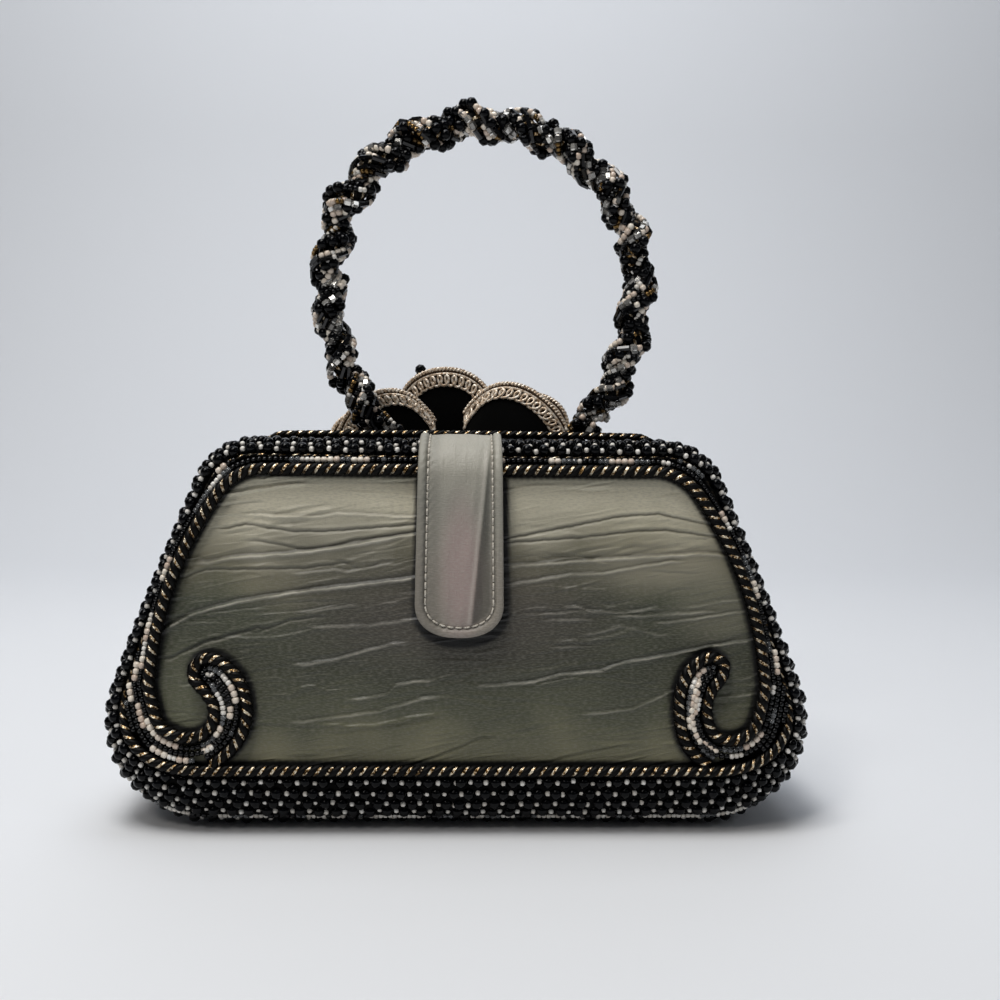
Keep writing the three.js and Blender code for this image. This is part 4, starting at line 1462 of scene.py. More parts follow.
@dataclass
class RingHandle:
    """Ring of bead strands: one thick bundle that winds round the ring's line, with flared feet."""

    x: float = 7.2
    y: float = 9.5
    z: float = 178.2
    radius: float = 52.9
    leg_radius: float = 79.8
    leg_drop: float = 47.0
    sway: float = 1.7
    turn_length: float = 18.0
    strands: int = 12
    strand_reach: float = 3.55
    strand_turn: float = 26.0
    reach_wander: float = 0.8
    angle_wander: float = 0.4
    wander_length: float = 11.0
    core_radius: float = 2.7
    core_turn: float = 8.0
    core_sides: int = 8
    steps: int = 700
    foot_strands: int = 11
    foot_half_length: float = 6.9
    foot_half_depth: float = 4.9
    foot_base_z: float = 125.9
    foot_inset: float = 3.6
    foot_rings: int = 9
    foot_core_share: float = 0.66
    foot_inner_share: float = 0.6
    neck_share: float = 1.15
    bend_down: float = 4.0
    bend_out: float = 0.4
    strand_spacing: float = 0.5
    foot_spacing: float = 0.4
    core_spacing: float = 0.8
    gap: float = 0.35

    def line(self) -> Array:
        """Run up the right leg's arc, over the half circle and down the left leg's arc.

        Returns:
            Points of the line.
        """
        leg_angle = math.asin(self.leg_drop / self.leg_radius)
        leg_length = self.leg_radius * leg_angle
        arch_length = self.radius * math.pi
        along = np.linspace(0.0, 2.0 * leg_length + arch_length, self.steps)
        is_right = along <= leg_length
        is_arch = (along > leg_length) & (along < leg_length + arch_length)
        arch = (along - leg_length) / self.radius
        down = np.where(is_right, leg_length - along, along - leg_length - arch_length) / self.leg_radius
        out = self.radius - self.leg_radius * (1.0 - np.cos(down))
        x = np.where(is_arch, self.radius * np.cos(arch), np.where(is_right, out, -out))
        z = np.where(is_arch, self.radius * np.sin(arch), -self.leg_radius * np.sin(down))
        return np.stack([self.x + x, 0.0 * x + self.y, self.z + z], axis=1)

    def bundle(self) -> Array:
        """Sway the line round itself: middle + sway (cos a first + sin a second), a turn each turn length.

        Returns:
            Points of the swaying line.
        """
        line = self.line()
        lengths = run_lengths(line)
        angle = (lengths / self.turn_length * TURN)[:, None]
        first, second = cross_axes(path_tangents(line), GUIDE_Y)
        return line + self.sway * (first * np.cos(angle) + second * np.sin(angle))

    def lay_strands(self, tray: BeadTray) -> None:
        """String the bundle's strands round its middle, in a slow twist with crossings and bulges.

        Args:
            tray: tray that takes the beads.
        """
        middle = even_path(self.bundle(), self.strand_spacing)
        lengths = run_lengths(middle)
        first, second = cross_axes(path_tangents(middle), GUIDE_Y)
        knots = np.linspace(0.0, lengths[-1], int(lengths[-1] / self.wander_length))
        for strand in range(self.strands):
            turned = np.interp(lengths, knots, tray.rng.normal(0.0, self.angle_wander, len(knots)))
            angle = strand / self.strands * TURN + lengths / self.strand_turn * TURN + turned
            bulge = np.abs(tray.rng.normal(0.0, self.reach_wander, len(knots)))
            reach = self.strand_reach + np.interp(lengths, knots, bulge)
            offset = first * np.cos(angle)[:, None] + second * np.sin(angle)[:, None]
            tray.string(middle + reach[:, None] * offset, HANDLE_MIX)

    def foot_ends(self, is_right: bool) -> tuple[Array, Array, Array]:
        """Return the handle's end, the way down out of it, and the middle of its foot on the rim.

        Args:
            is_right: which foot.

        Returns:
            The end, the direction, and the middle of the foot.
        """
        line = self.line()
        end = line[0] if is_right else line[-1]
        out = unit(line[0] - line[1]) if is_right else unit(line[-1] - line[-2])
        inwards = -1.0 if is_right else 1.0
        base = np.array([end[0] + inwards * self.foot_inset, end[1], self.foot_base_z])
        return end + out * self.gap, out, base

    def foot_lines(self, is_right: bool, share: float, count: int) -> Array:
        """Carry lines from a ring at the handle's end to an oval on the rim.

        A line is the quadratic (1-u)^2 top + 2u(1-u) bend + u^2 base, and leaves along the leg.

        Args:
            is_right: which foot.
            share: share of the full size of both rings.
            count: number of lines.

        Returns:
            Array of line, point on the line, and coordinate.
        """
        top, out, base = self.foot_ends(is_right)
        angle = (np.arange(count) / count * TURN)[:, None]
        first, second = cross_axes(out[None], GUIDE_Y)
        neck = self.strand_reach * self.neck_share
        ring = first * np.cos(angle) + second * np.sin(angle)
        starts = top + share * neck * ring
        oval = np.concatenate([np.sin(angle), np.cos(angle), 0.0 * angle], axis=1)
        oval *= (self.foot_half_length, self.foot_half_depth, 0.0)
        ends = base + share * oval
        bends = starts + out * self.bend_down + ring * self.bend_out
        u = np.linspace(0.0, 1.0, self.foot_rings)[None, :, None]
        return (1 - u) ** 2 * starts[:, None] + 2 * u * (1 - u) * bends[:, None] + u ** 2 * ends[:, None]

    def lay_foot(self, tray: BeadTray, is_right: bool) -> None:
        """String the flared strands of one foot in an outer and an inner layer.

        Args:
            tray: tray that takes the beads.
            is_right: which foot.
        """
        layers = ((1.0, self.foot_strands), (self.foot_inner_share, self.foot_strands // 2))
        for share, count in layers:
            for line in self.foot_lines(is_right, share, count):
                tray.string(even_path(line, self.foot_spacing), HANDLE_MIX)

    def core(self) -> tuple[Surface, Surface]:
        """Return the plies and the gold threads of the cord that the strands are wound on.

        Returns:
            The plies, and the gold threads.
        """
        cord = TwistedCord(self.core_radius, turn_length=self.core_turn)
        line = even_path(self.bundle(), self.core_spacing)
        return cord.plies(line, False), cord.gold(line, False)

    def foot_core(self, is_right: bool) -> Surface:
        """Return the dark core of one foot, a skin over its lines."""
        lines = self.foot_lines(is_right, self.foot_core_share, self.core_sides)
        return lofted(np.swapaxes(lines, 0, 1))


# Flower

@dataclass(frozen=True)
class Petal:
    """One cupped petal in the flower's own plane."""

    angle: float
    aside: float
    reach: float
    width: float
    rise: float
    cup: float = 5.0


@dataclass(frozen=True)
class Flower:
    """Cloth flower on the far face, whose upper petals stand over the rim."""

    x: float = -4.0
    y: float = 28.0
    z: float = 112.6
    tilt: float = 10.0
    root: float = 6.5
    shoulder: float = 15.0
    twist: float = 0.2
    sweep: float = 1.2
    wave: float = 0.35
    waves: float = 3.0
    cloth_wall: float = 1.1
    cloth_from: float = 0.2
    cloth_to: float = 0.985
    round_steps: int = 56
    out_steps: int = 22
    rim_samples: int = 400
    edge_radius: float = 0.95
    edge_inset: float = 0.5
    edge_turn: float = 2.6
    edge_spacing: float = 0.45
    second_at: float = 2.1
    second_radius: float = 0.5
    second_lift: float = 0.8
    loop_at: float = 4.5
    loop_half: float = 1.8
    loop_pitch: float = 3.1
    loop_swing: float = 1.7
    loop_radius: float = 0.55
    loop_rise: float = 0.2
    braid_width: float = 6.6
    braid_fade: float = 0.8
    braid_from: float = 0.55
    braid_from_fade: float = 0.1
    heart_beads: int = 34
    heart_reach: float = 4.9
    heart_top: float = 17.6
    heart_fall: float = 0.16
    heart_sides: int = 24
    heart_profile: Corners = (
        (-2.6, 4.3), (-0.9, 4.3), (-0.9, 13.0), (-0.2, 12.6), (-0.2, 4.3), (8.0, 4.3), (13.5, 4.0),
        (16.6, 1.2))
    stamen_aside: float = -11.6
    stamen_up: float = 33.6
    stamen_rise: Pair = (20.0, 21.0)
    stamen_bow: float = 5.0
    stamen_samples: int = 60
    flatness: float = 0.78
    buds: tuple[Triple, ...] = (
        (0.0, 0.0, 0.0), (1.6, 0.4, -1.9), (4.0, 0.5, -2.4), (-0.4, 0.5, -3.0))
    loop_samples: int = 16
    thread_sides: int = 5
    petals: tuple[Petal, ...] = (
        Petal(45.0, 13.4, 33.0, 42.0, 0.0), Petal(135.0, -12.4, 32.0, 37.0, 0.0),
        Petal(233.0, -2.0, 36.0, 32.0, -0.9), Petal(317.0, 3.0, 36.0, 35.0, 0.0),
        Petal(96.0, 0.0, 35.4, 37.0, 10.6), Petal(27.0, 6.0, 41.0, 30.0, 12.6),
        Petal(272.0, 0.0, 33.0, 36.0, 9.5), Petal(165.0, -6.0, 40.0, 30.0, 9.5))

    def placed(self, across: Array, up: Array, rise: Array) -> Array:
        """Turn points of the flower's tilted plane into the bag's frame.

        Args:
            across: distance to the flower's right.
            up: distance up the flower.
            rise: distance out of its plane.

        Returns:
            The points.
        """
        lean = math.radians(self.tilt)
        y = self.y - up * math.sin(lean) + rise * math.cos(lean)
        z = self.z + up * math.cos(lean) + rise * math.sin(lean)
        return np.stack(np.broadcast_arrays(self.x + across, y, z), axis=-1)

    def petal_points(self, petal: Petal, along: Array, out: Array, lift: Array | float) -> Array:
        """Find points of a petal.

        Its rim is part of a flattened ellipse, and each line from the root to the rim rises with the
        square of its share, tilts aside and waves a little.

        Args:
            petal: the petal's sizes.
            along: 0 to 1 round the rim.
            out: 0 to 1 from the root to the rim.
            lift: distance off the middle of the wall.

        Returns:
            The points.
        """
        turn = math.pi * (0.5 + self.sweep * (along - 0.5))
        rim_aside = petal.width / 2.0 * np.cos(turn)
        swell = np.sign(np.sin(turn)) * np.abs(np.sin(turn)) ** self.flatness
        rim_out = self.shoulder + (petal.reach - self.shoulder) * swell
        heading = math.radians(petal.angle)
        radial = lerp(self.root, rim_out, out)
        across = petal.aside * out + radial * math.cos(heading) - rim_aside * out * math.sin(heading)
        up = radial * math.sin(heading) + rim_aside * out * math.cos(heading)
        ripple = self.wave * np.sin(self.waves * TURN * along + petal.angle) * out ** 3
        rise = petal.rise + petal.cup * out ** 2 + self.twist * rim_aside * out + ripple + lift
        return self.placed(across, up, rise)

    def rim_shares(self, petal: Petal, spacing: float) -> tuple[Array, Array]:
        """Space points evenly along a petal's rim.

        Args:
            petal: the petal.
            spacing: wanted spacing.

        Returns:
            Shares round the rim, and the distance from root to rim at each.
        """
        dense = np.linspace(0.0, 1.0, self.rim_samples)
        rim = self.petal_points(petal, dense, np.ones_like(dense), 0.0)
        depth = np.linalg.norm(rim - self.petal_points(petal, dense, np.zeros_like(dense), 0.0), axis=1)
        lengths = run_lengths(rim)
        count = int(lengths[-1] / spacing) + 1
        places = np.linspace(0.0, lengths[-1], count)
        return np.interp(places, lengths, dense), np.interp(places, lengths, depth)

    def cloth(self, petal: Petal) -> Surface:
        """Return a petal's cloth as a closed thin wall.

        Args:
            petal: the petal.

        Returns:
            The wall, whose tone is 1 under the gimp and 0 elsewhere.
        """
        along = np.linspace(0.0, 1.0, self.round_steps)[:, None]
        out = np.linspace(self.cloth_from, self.cloth_to, self.out_steps)[None, :]
        face = self.petal_points(petal, along, out, self.cloth_wall / 2.0)
        back = self.petal_points(petal, along, out, -self.cloth_wall / 2.0)[:, ::-1]
        skin = lofted(np.concatenate([face, back], axis=1))
        rim = self.petal_points(petal, along, np.ones_like(along), 0.0)
        to_rim = np.linalg.norm(face - rim, axis=2)
        tone = smooth((self.braid_width - to_rim) / self.braid_fade)
        tone = tone * smooth((out - self.braid_from) / self.braid_from_fade)
        skin.tone = np.concatenate([np.concatenate([tone, tone[:, ::-1]], axis=1).ravel(), [0.0, 0.0]])
        return skin

    def edging(self, petal: Petal) -> Surface:
        """Return a petal's looped gimp: an edge cord, a thin line and a row of loops on both faces.

        The loops are a curve that swings back on itself: place + swing sin a along the rim, and
        half cos a across it, one turn to each pitch.

        Args:
            petal: the petal.

        Returns:
            All its threads.
        """
        along, depth = self.rim_shares(petal, self.edge_spacing)
        rim = self.petal_points(petal, along, 1.0 - self.edge_inset / depth, 0.0)
        cord = TwistedCord(self.edge_radius, turn_length=self.edge_turn)
        threads = [cord.plies(rim, False)]
        step = self.loop_pitch / self.loop_samples
        fine, fine_depth = self.rim_shares(petal, step)
        turn = np.arange(len(fine)) / self.loop_samples * TURN
        shift = self.loop_swing * np.sin(turn) / (step * len(fine))
        swung = np.clip(fine + shift, 0.0, 1.0)
        across = self.loop_at + self.loop_half * np.cos(turn)
        for face in (-1.0, 1.0):
            lift = face * (self.cloth_wall / 2.0 + self.second_radius * self.second_lift)
            line = self.petal_points(petal, along, 1.0 - self.second_at / depth, lift)
            threads.append(tube(line[::2], self.second_radius, self.thread_sides))
            height = face * (self.cloth_wall / 2.0 + self.loop_radius + self.loop_rise * np.sin(turn))
            loops = self.petal_points(petal, swung, 1.0 - across / fine_depth, height)
            threads.append(tube(loops, self.loop_radius, self.thread_sides))
        return join(threads)

    def lay_heart(self, tray: BeadTray) -> None:
        """Set black beads in a sunflower spiral over the dome of the flower's heart.

        Args:
            tray: tray that takes the beads.
        """
        number = np.arange(self.heart_beads)
        reach = self.heart_reach * np.sqrt((number + 0.5) / self.heart_beads)
        turn = number * GOLDEN_ANGLE
        rise = self.heart_top - self.heart_fall * reach ** 2
        centres = self.placed(reach * np.cos(turn), reach * np.sin(turn), rise)
        axes = unit(np.stack([np.cos(turn), 0.0 * turn, np.sin(turn)], axis=1))
        tray.lay(Bead.BLACK, centres, axes)

    def heart(self) -> Surface:
        """Return the heart's dark stem under its beads, with the pad that the petals are sewn to.

        Returns:
            The stem and the pad as one closed skin.
        """
        rise, reach = np.array(self.heart_profile).T[:, :, None]
        angle = (np.arange(self.heart_sides) / self.heart_sides * TURN)[None, :]
        return lofted(self.placed(reach * np.cos(angle), reach * np.sin(angle), rise + 0.0 * angle))

    def stamen_line(self) -> Array:
        """Return the bowed line of the stamen, from the heart to its bud.

        Returns:
            Points of the line.
        """
        share = np.linspace(0.0, 1.0, self.stamen_samples)
        rise = lerp(*self.stamen_rise, share) + self.stamen_bow * share * (1.0 - share)
        return self.placed(self.stamen_aside * share, self.stamen_up * share, rise)


# Closure tab

@dataclass(frozen=True)
class ClosureTab:
    """Silk tab from the mouth over the front rim, with a bound edge and a line of stitches."""

    route: Corners = (
        (-4.3, 98.0), (-4.3, 119.6), (-4.9, 123.5), (-8.2, 124.9), (-12.5, 124.3), (-17.0, 122.7),
        (-21.4, 120.2), (-24.6, 115.6), (-26.0, 110.5), (-27.6, 100.0), (-29.9, 85.0), (-31.6, 70.0),
        (-32.4, 62.8))
    width_top: float = 25.4
    width_bottom: float = 28.0
    end_depth: float = 11.0
    end_power: float = 2.35
    wall: float = 1.5
    binding: float = 2.7
    binding_rise: float = 0.85
    stitch_inset: float = 3.2
    stitch_length: float = 2.0
    stitch_gap: float = 0.6
    stitch_radius: float = 0.31
    stitch_from: float = 30.0
    stitch_low: float = 0.2
    stitch_high: float = 0.32
    stitch_points: int = 7
    stitch_sides: int = 6
    stitch_samples: Counts = (220, 120)
    dip: float = 0.3
    dip_half: float = 0.5
    puff: float = 0.35
    puff_run: float = 7.0
    pucker_pitch: float = 2.9
    pucker_height: float = 0.12
    pucker_reach: float = 1.7
    ripple: float = 0.08
    ripple_across: float = 0.8
    ripple_lean: float = 9.0
    ripple_along: float = 34.0
    ripple_room: float = 4.0
    fold_at: float = 3.4
    fold_lean: float = 0.1
    fold_height: float = 0.6
    fold_run: Pair = (3.0, 0.7)
    fold_room: float = 1.6
    fold_from: float = 0.34
    fold_fade: float = 0.16
    hollow_share: float = 0.7
    hollow_at: float = 2.4
    hollow_half: float = 1.5
    second_at: float = -3.2
    second_share: float = 0.4
    second_run: Pair = (1.4, 0.5)
    fold_shade: float = 0.6
    fold_shade_run: float = 0.7
    fold_light: float = 0.6
    light_at: float = -0.9
    light_half: float = 0.5
    groove_shade: float = 0.5
    groove_shift: float = 0.3
    groove_half: float = 0.55
    left_shade: float = 0.22
    left_from: float = 5.0
    left_fade: float = 3.0
    cut_room: float = 1.1
    shadow_half: float = 1.0
    shadow_right: float = 0.5
    shadow_down: float = 2.2
    shadow_from: float = 0.5
    shadow_samples: Counts = (120, 160)
    spacing: float = 0.4
    columns: int = 76
    inner_columns: int = 12
    rows: int = 170
    end_rows: int = 30
    end_trim: float = 0.05

    @cached_property
    def line(self) -> Array:
        """Points of the route, in the plane where x is 0."""
        return smooth_path(np.array([(0.0, y, z) for y, z in self.route]), self.spacing)

    @cached_property
    def length(self) -> float:
        """Length of the route."""
        return run_lengths(self.line)[-1]

    def half_width(self, place: Array) -> Array:
        """Return half the width along the tab, which ends in half a squarish ellipse.

        Args:
            place: length along the tab.

        Returns:
            Half the width at each place.
        """
        to_end = np.clip((self.length - place) / self.end_depth, 0.0, 1.0)
        full = lerp(self.width_top, self.width_bottom, place / self.length) / 2.0
        power = self.end_power
        return full * np.maximum(0.0, 1.0 - (1.0 - to_end) ** power) ** (1.0 / power)

    def at(self, place: Array, across: Array, lift: Array | float) -> Array:
        """Find points of the tab: route point + lift times its outward normal, moved across.

        Args:
            place: length along the tab.
            across: distance across it.
            lift: distance off the middle of its wall.

        Returns:
            The points.
        """
        place, across, lift = np.broadcast_arrays(place, across, lift)
        points, tangents = along_path(self.line, place.ravel())
        outward = np.stack([0.0 * tangents[:, 0], tangents[:, 2], -tangents[:, 1]], axis=1)
        found = points + outward * lift.reshape(-1, 1)
        found[:, 0] += across.ravel()
        return found.reshape(*place.shape, 3)

    def edge_distance(self, place: Array, across: Array) -> Array:
        """Return the distance to the tab's edge, which follows the half ellipse at its end.

        Args:
            place: length along the tab.
            across: distance across it.

        Returns:
            Distance to the edge, 0 on it.
        """
        full = lerp(self.width_top, self.width_bottom, place / self.length) / 2.0
        past = np.maximum(0.0, place - (self.length - self.end_depth)) / self.end_depth
        power = self.end_power
        reach = (np.abs(across / full) ** power + past ** power) ** (1.0 / power)
        round_end = (1.0 - reach) * lerp(full, self.end_depth, past)
        return np.where(past > 0.0, round_end, full - np.abs(across))

    def from_fold(self, place: Array, across: Array) -> Array:
        """Return the distance to the right of the tab's leaning fold."""
        return across - self.fold_at - self.fold_lean * (self.length - place)

    def fold_reach(self, place: Array, across: Array) -> Array:
        """Return where the fold shows: clear of the bound edge, and fading towards the rim.

        Args:
            place: length along the tab.
            across: distance across it.

        Returns:
            1 where the fold shows, down to 0 where it does not.
        """
        edge = self.edge_distance(place, across)
        shown = smooth((place / self.length - self.fold_from) / self.fold_fade)
        return smooth((edge - self.stitch_inset) / self.fold_room) * shown

    def relief(self, place: Array, across: Array) -> Array:
        """Add the bound edge's roll, the dip at the stitches, the puff and the leaning folds.

        A fold is exp(-|d| / run), with a long run on its left and a short one on its right, where it
        drops to a hollow. A second, smaller one lies to its left.

        Args:
            place: length along the tab.
            across: distance across it.

        Returns:
            Height over the tab's wall.
        """
        edge = self.edge_distance(place, across)
        half = self.binding / 2.0
        roll = self.binding_rise * np.sqrt(np.maximum(0.0, 1.0 - ((edge - half) / half) ** 2))
        past_stitch = edge - self.stitch_inset
        dip = -self.dip * np.exp(-(past_stitch / self.dip_half) ** 2)
        puff = self.puff * smooth(past_stitch / self.puff_run)
        off = self.from_fold(place, across)
        second = off - self.second_at
        ridge = np.exp(-np.abs(off) / np.where(off < 0.0, *self.fold_run))
        hollow = -self.hollow_share * np.exp(-((off - self.hollow_at) / self.hollow_half) ** 2)
        minor = self.second_share * np.exp(-np.abs(second) / np.where(second < 0.0, *self.second_run))
        folds = self.fold_height * (ridge + hollow + minor) * self.fold_reach(place, across)
        share = place / self.length
        ripple = np.sin(across * self.ripple_across + self.ripple_lean * share)
        ripple = self.ripple * ripple * np.sin(self.ripple_along * share)
        pucker = np.sin((place - np.abs(across)) * TURN / self.pucker_pitch)
        pucker = self.pucker_height * pucker * np.exp(-(past_stitch / self.pucker_reach) ** 2)
        return roll + dip + puff + folds + pucker + ripple * smooth(edge / self.ripple_room)

    def shade(self, place: Array, across: Array) -> Array:
        """Return the tone of the tab's face.

        It holds painted shade in the stitched groove and right of the fold, is darker along the left edge,
        and holds painted light on the fold's crest.

        Args:
            place: length along the tab.
            across: distance across it.

        Returns:
            1 for the plain silk, less in painted shade and more in painted light on the crest.
        """
        from_groove = self.edge_distance(place, across) - self.stitch_inset + self.groove_shift
        groove = 1.0 - self.groove_shade * np.exp(-(from_groove / self.groove_half) ** 2)
        off = self.from_fold(place, across)
        reach = self.fold_reach(place, across)
        facet = 1.0 - self.fold_shade * smooth(off / self.fold_shade_run + 0.5) * reach
        left = 1.0 - self.left_shade * smooth((-across - self.left_from) / self.left_fade)
        crest = self.fold_light * np.exp(-((off - self.light_at) / self.light_half) ** 2) * reach
        return groove * facet * left + crest

    def cut(self) -> Pair:
        """Return the width and length of the strip that the tab is cut from."""
        return self.width_bottom * self.cut_room, self.length * self.cut_room

    def surface(self) -> Surface:
        """Close the tab's wall: the outer face with its relief and a plain inner face.

        Returns:
            The wall, with UV in millimetres across and along.
        """
        run = self.length - self.end_depth
        straight = np.linspace(0.0, run, self.rows, endpoint=False)
        end = run + self.end_depth * np.sin(np.linspace(0.0, math.pi / 2 - self.end_trim, self.end_rows))
        place = np.concatenate([straight, end])[:, None]
        share = np.sin(np.linspace(-math.pi / 2, math.pi / 2, self.columns))[None, :]
        across = self.half_width(place) * share
        outer = self.at(place, across, self.wall / 2.0 + self.relief(place, across))
        under = self.half_width(place) * np.linspace(1.0, -1.0, self.inner_columns)[None, :]
        skin = lofted(np.concatenate([outer, self.at(place, under, -self.wall / 2.0)], axis=1))
        every = np.concatenate([across, under], axis=1)
        flat = np.stack(np.broadcast_arrays(every, place), axis=-1)
        skin.uv = np.concatenate([flat.reshape(-1, 2), skin.uv[-2:]])
        # Painted shade and painted light of the tab's face, carried as its tone
        skin.tone = np.concatenate([self.shade(place, every).ravel(), [1.0, 1.0]])
        return skin

    def edge_line(self, start: float, inset: float, samples: Counts) -> tuple[Array, Array]:
        """Follow the tab's edge down, round its end and up again.

        Args:
            start: length along the tab where the line starts.
            inset: distance of the line from the edge.
            samples: points down each side, and round the end.

        Returns:
            Lengths along the tab, and distances across it.
        """
        run = self.length - self.end_depth
        down = np.linspace(start, run, samples[0])
        half = lerp(self.width_top, self.width_bottom, down / self.length) / 2.0 - inset
        turn = np.linspace(0.0, math.pi, samples[1])[1:-1]
        power = 2.0 / self.end_power
        end_place = run + (self.end_depth - inset) * np.sin(turn) ** power
        end_across = -half[-1] * np.sign(np.cos(turn)) * np.abs(np.cos(turn)) ** power
        place = np.concatenate([down, end_place, down[::-1]])
        return place, np.concatenate([-half, end_across, half[::-1]])

    def shadow_line(self) -> Array:
        """Return the line of the painted shadow under the tab on the front silk: its lower edge, moved a
        little right and down.

        Returns:
            Points of the line.
        """
        start = self.shadow_from * self.length
        place, across = self.edge_line(start, 0.0, self.shadow_samples)
        return self.at(place, across, 0.0) + np.array([self.shadow_right, 0.0, -self.shadow_down])

    def stitches(self) -> Surface:
        """Lay stitches as short threads that rise in the middle and dive at both ends.

        Returns:
            All the stitches in one surface.
        """
        place, across = self.edge_line(self.stitch_from, self.stitch_inset, self.stitch_samples)
        base = self.wall / 2.0 + self.relief(place, across)
        low = self.at(place, across, base - self.stitch_low)
        high = self.at(place, across, base + self.stitch_high)
        whole = run_lengths(high)[-1]
        starts = np.arange(0.0, whole - self.stitch_length, self.stitch_length + self.stitch_gap)
        share = np.linspace(0.0, 1.0, self.stitch_points)
        spots = starts[:, None] + share[None] * self.stitch_length
        stretches = [spots.ravel() * run_lengths(line)[-1] / whole for line in (low, high)]
        lower, upper = (along_path(line, at)[0] for line, at in zip((low, high), stretches))
        arch = np.tile(np.sqrt(np.sin(math.pi * share)), len(starts))[:, None]
        lines = lerp(lower, upper, arch).reshape(*spots.shape, 3)
        return join([tube(line, self.stitch_radius, self.stitch_sides) for line in lines])


# Finishes

def linear(code: str) -> tuple[float, float, float, float]:
    """Turn an sRGB hex colour into linear red, green, blue and a full alpha.

    Args:
        code: colour as #rrggbb.

    Returns:
        The four linear values.
    """
    parts = np.array([int(code[k:k + 2], 16) for k in (1, 3, 5)]) / 255.0
    low = parts / 12.92
    high = ((parts + 0.055) / 1.055) ** 2.4
    return (*np.where(parts <= 0.04045, low, high).tolist(), 1.0)


def fill(tree: Tree, node: Node, inputs: dict) -> None:
    """Fill a node's inputs, by name or number, with links from other sockets or with values.

    Args:
        tree: tree of the node.
        node: node to fill.
        inputs: socket or value for each input.
    """
    for key, value in inputs.items():
        if isinstance(value, Socket):
            tree.links.new(value, node.inputs[key])
        else:
            node.inputs[key].default_value = value


def add_node(tree: Tree, kind: str, inputs: dict, **settings) -> Node:
    """Add a node, set its properties, and fill its inputs with links or values.

    Args:
        tree: tree that gets the node.
        kind: Blender's name of the node's type, without its start.
        inputs: socket of another node, or a value, for each input by name or number.
        **settings: properties of the node.

    Returns:
        The node.
    """
    node = tree.nodes.new(f"ShaderNode{kind}")
    for name, value in settings.items():
        setattr(node, name, value)
    fill(tree, node, inputs)
    return node


def coordinates(tree: Tree, kind: str) -> Socket:
    """Return the coordinates of one kind on the piece."""
    return add_node(tree, "TexCoord", {}).outputs[kind]


def tone_of(tree: Tree) -> Socket:
    """Return the piece's tone: a bead's own tone, the petal's gimp band, or painted shade and light."""
    return add_node(tree, "Attribute", {}, attribute_name="tone").outputs["Fac"]


def noise(tree: Tree, place: Socket, size: float, detail: float) -> Socket:
    """Return noise in lumps of a size, in the units of its coordinates."""
    inputs = {"Vector": place, "Scale": 1.0 / size, "Detail": detail}
    return add_node(tree, "TexNoise", inputs).outputs["Fac"]


def raised(tree: Tree, height: Socket, strength: float, rise_mm: float, inputs: dict) -> Socket:
    """Return the normal of a surface raised by a height, with further inputs of the bump node."""
    values = {"Height": height, "Strength": strength, "Distance": rise_mm * MM}
    return add_node(tree, "Bump", values | inputs).outputs["Normal"]


def mapped(tree: Tree, value: Socket, start: float, end: float, top: float = 1.0, **settings) -> Socket:
    """Return 0 to a top as a value goes from a start to an end."""
    inputs = {"Value": value, "From Min": start, "From Max": end, "To Max": top}
    return add_node(tree, "MapRange", inputs, **settings).outputs["Result"]


def mixed(tree: Tree, factor: Socket, start: Socket | str, end: Socket | str) -> Socket:
    """Return the colour between two, each a socket or a hex colour, by a factor.

    Args:
        tree: tree that gets the node.
        factor: 0 for the first colour, 1 for the second.
        start: first colour.
        end: second colour.

    Returns:
        The colour socket.
    """
    first, second = (linear(colour) if isinstance(colour, str) else colour for colour in (start, end))
    node = add_node(tree, "Mix", {"Factor": factor, "A": first, "B": second}, data_type="RGBA")
    return node.outputs["Result"]


def ramp(tree: Tree, factor: Socket,
         stops: Stops) -> Socket:
    """Map a factor to colours.

    Args:
        tree: tree that gets the node.
        factor: socket with a value from 0 to 1.
        stops: place and sRGB hex colour of each stop.

    Returns:
        The colour socket.
    """
    node = add_node(tree, "ValToRGB", {"Fac": factor})
    elements = node.color_ramp.elements
    while len(elements) < len(stops):
        elements.new(0.5)
    for element, (place, code) in zip(elements, stops):
        element.position = place
        element.color = linear(code)
    return node.outputs["Color"]


def new_material(name: str) -> tuple[Material, Tree, Node]:
    """Make a material and return it with its tree and its principled shader.

    Args:
        name: name of the material.

    Returns:
        The material, its tree and its shader.
    """
    material = bpy.data.materials.new(name)
    material.use_nodes = True
    tree = material.node_tree
    return material, tree, tree.nodes["Principled BSDF"]


@dataclass(frozen=True)
class GlassFinish:
    """Pressed or drawn glass bead: a hard gloss with a slightly different tone on each bead."""

    name: str
    dark: str
    light: str
    roughness: float
    transmission: float = 0.0
    metallic: float = 0.0
    specular: float = 0.5
    lump_mm: float = 0.9
    lump_rise_mm: float = 0.2
    lump: float = 0.12
    bending: float = 1.52

    def build(self) -> Material:
        """Mix the bead's colour by its tone, and dent the gloss with lumps of about a millimetre.

        Returns:
            The material.
        """
        material, tree, shader = new_material(self.name)
        lumps = noise(tree, coordinates(tree, "Object"), self.lump_mm * MM, 1.0)
        fill(tree, shader, {
            "Base Color": ramp(tree, tone_of(tree), ((0.0, self.dark), (1.0, self.light))),
            "Normal": raised(tree, lumps, self.lump, self.lump_rise_mm, {}), "Roughness": self.roughness,
            "IOR": self.bending, "Transmission Weight": self.transmission, "Metallic": self.metallic,
            "Specular IOR Level": self.specular})
        return material


# Jet glass is black in any thickness, so only its highlights show.
JET_GLASS = GlassFinish("jet_black_glass", "#020203", "#06070a", 0.08, specular=0.13)
# Opaque white glass is bright with a soft gloss, and no two beads are quite the same white.
WHITE_GLASS = GlassFinish("opaque_white_glass", "#cfc9bf", "#f4f1ea", 0.22)
# Cream glass with a pearl lustre, a little pink in its darker beads.
CREAM_GLASS = GlassFinish("cream_lustre_glass", "#cdb9a8", "#f3eadb", 0.18)
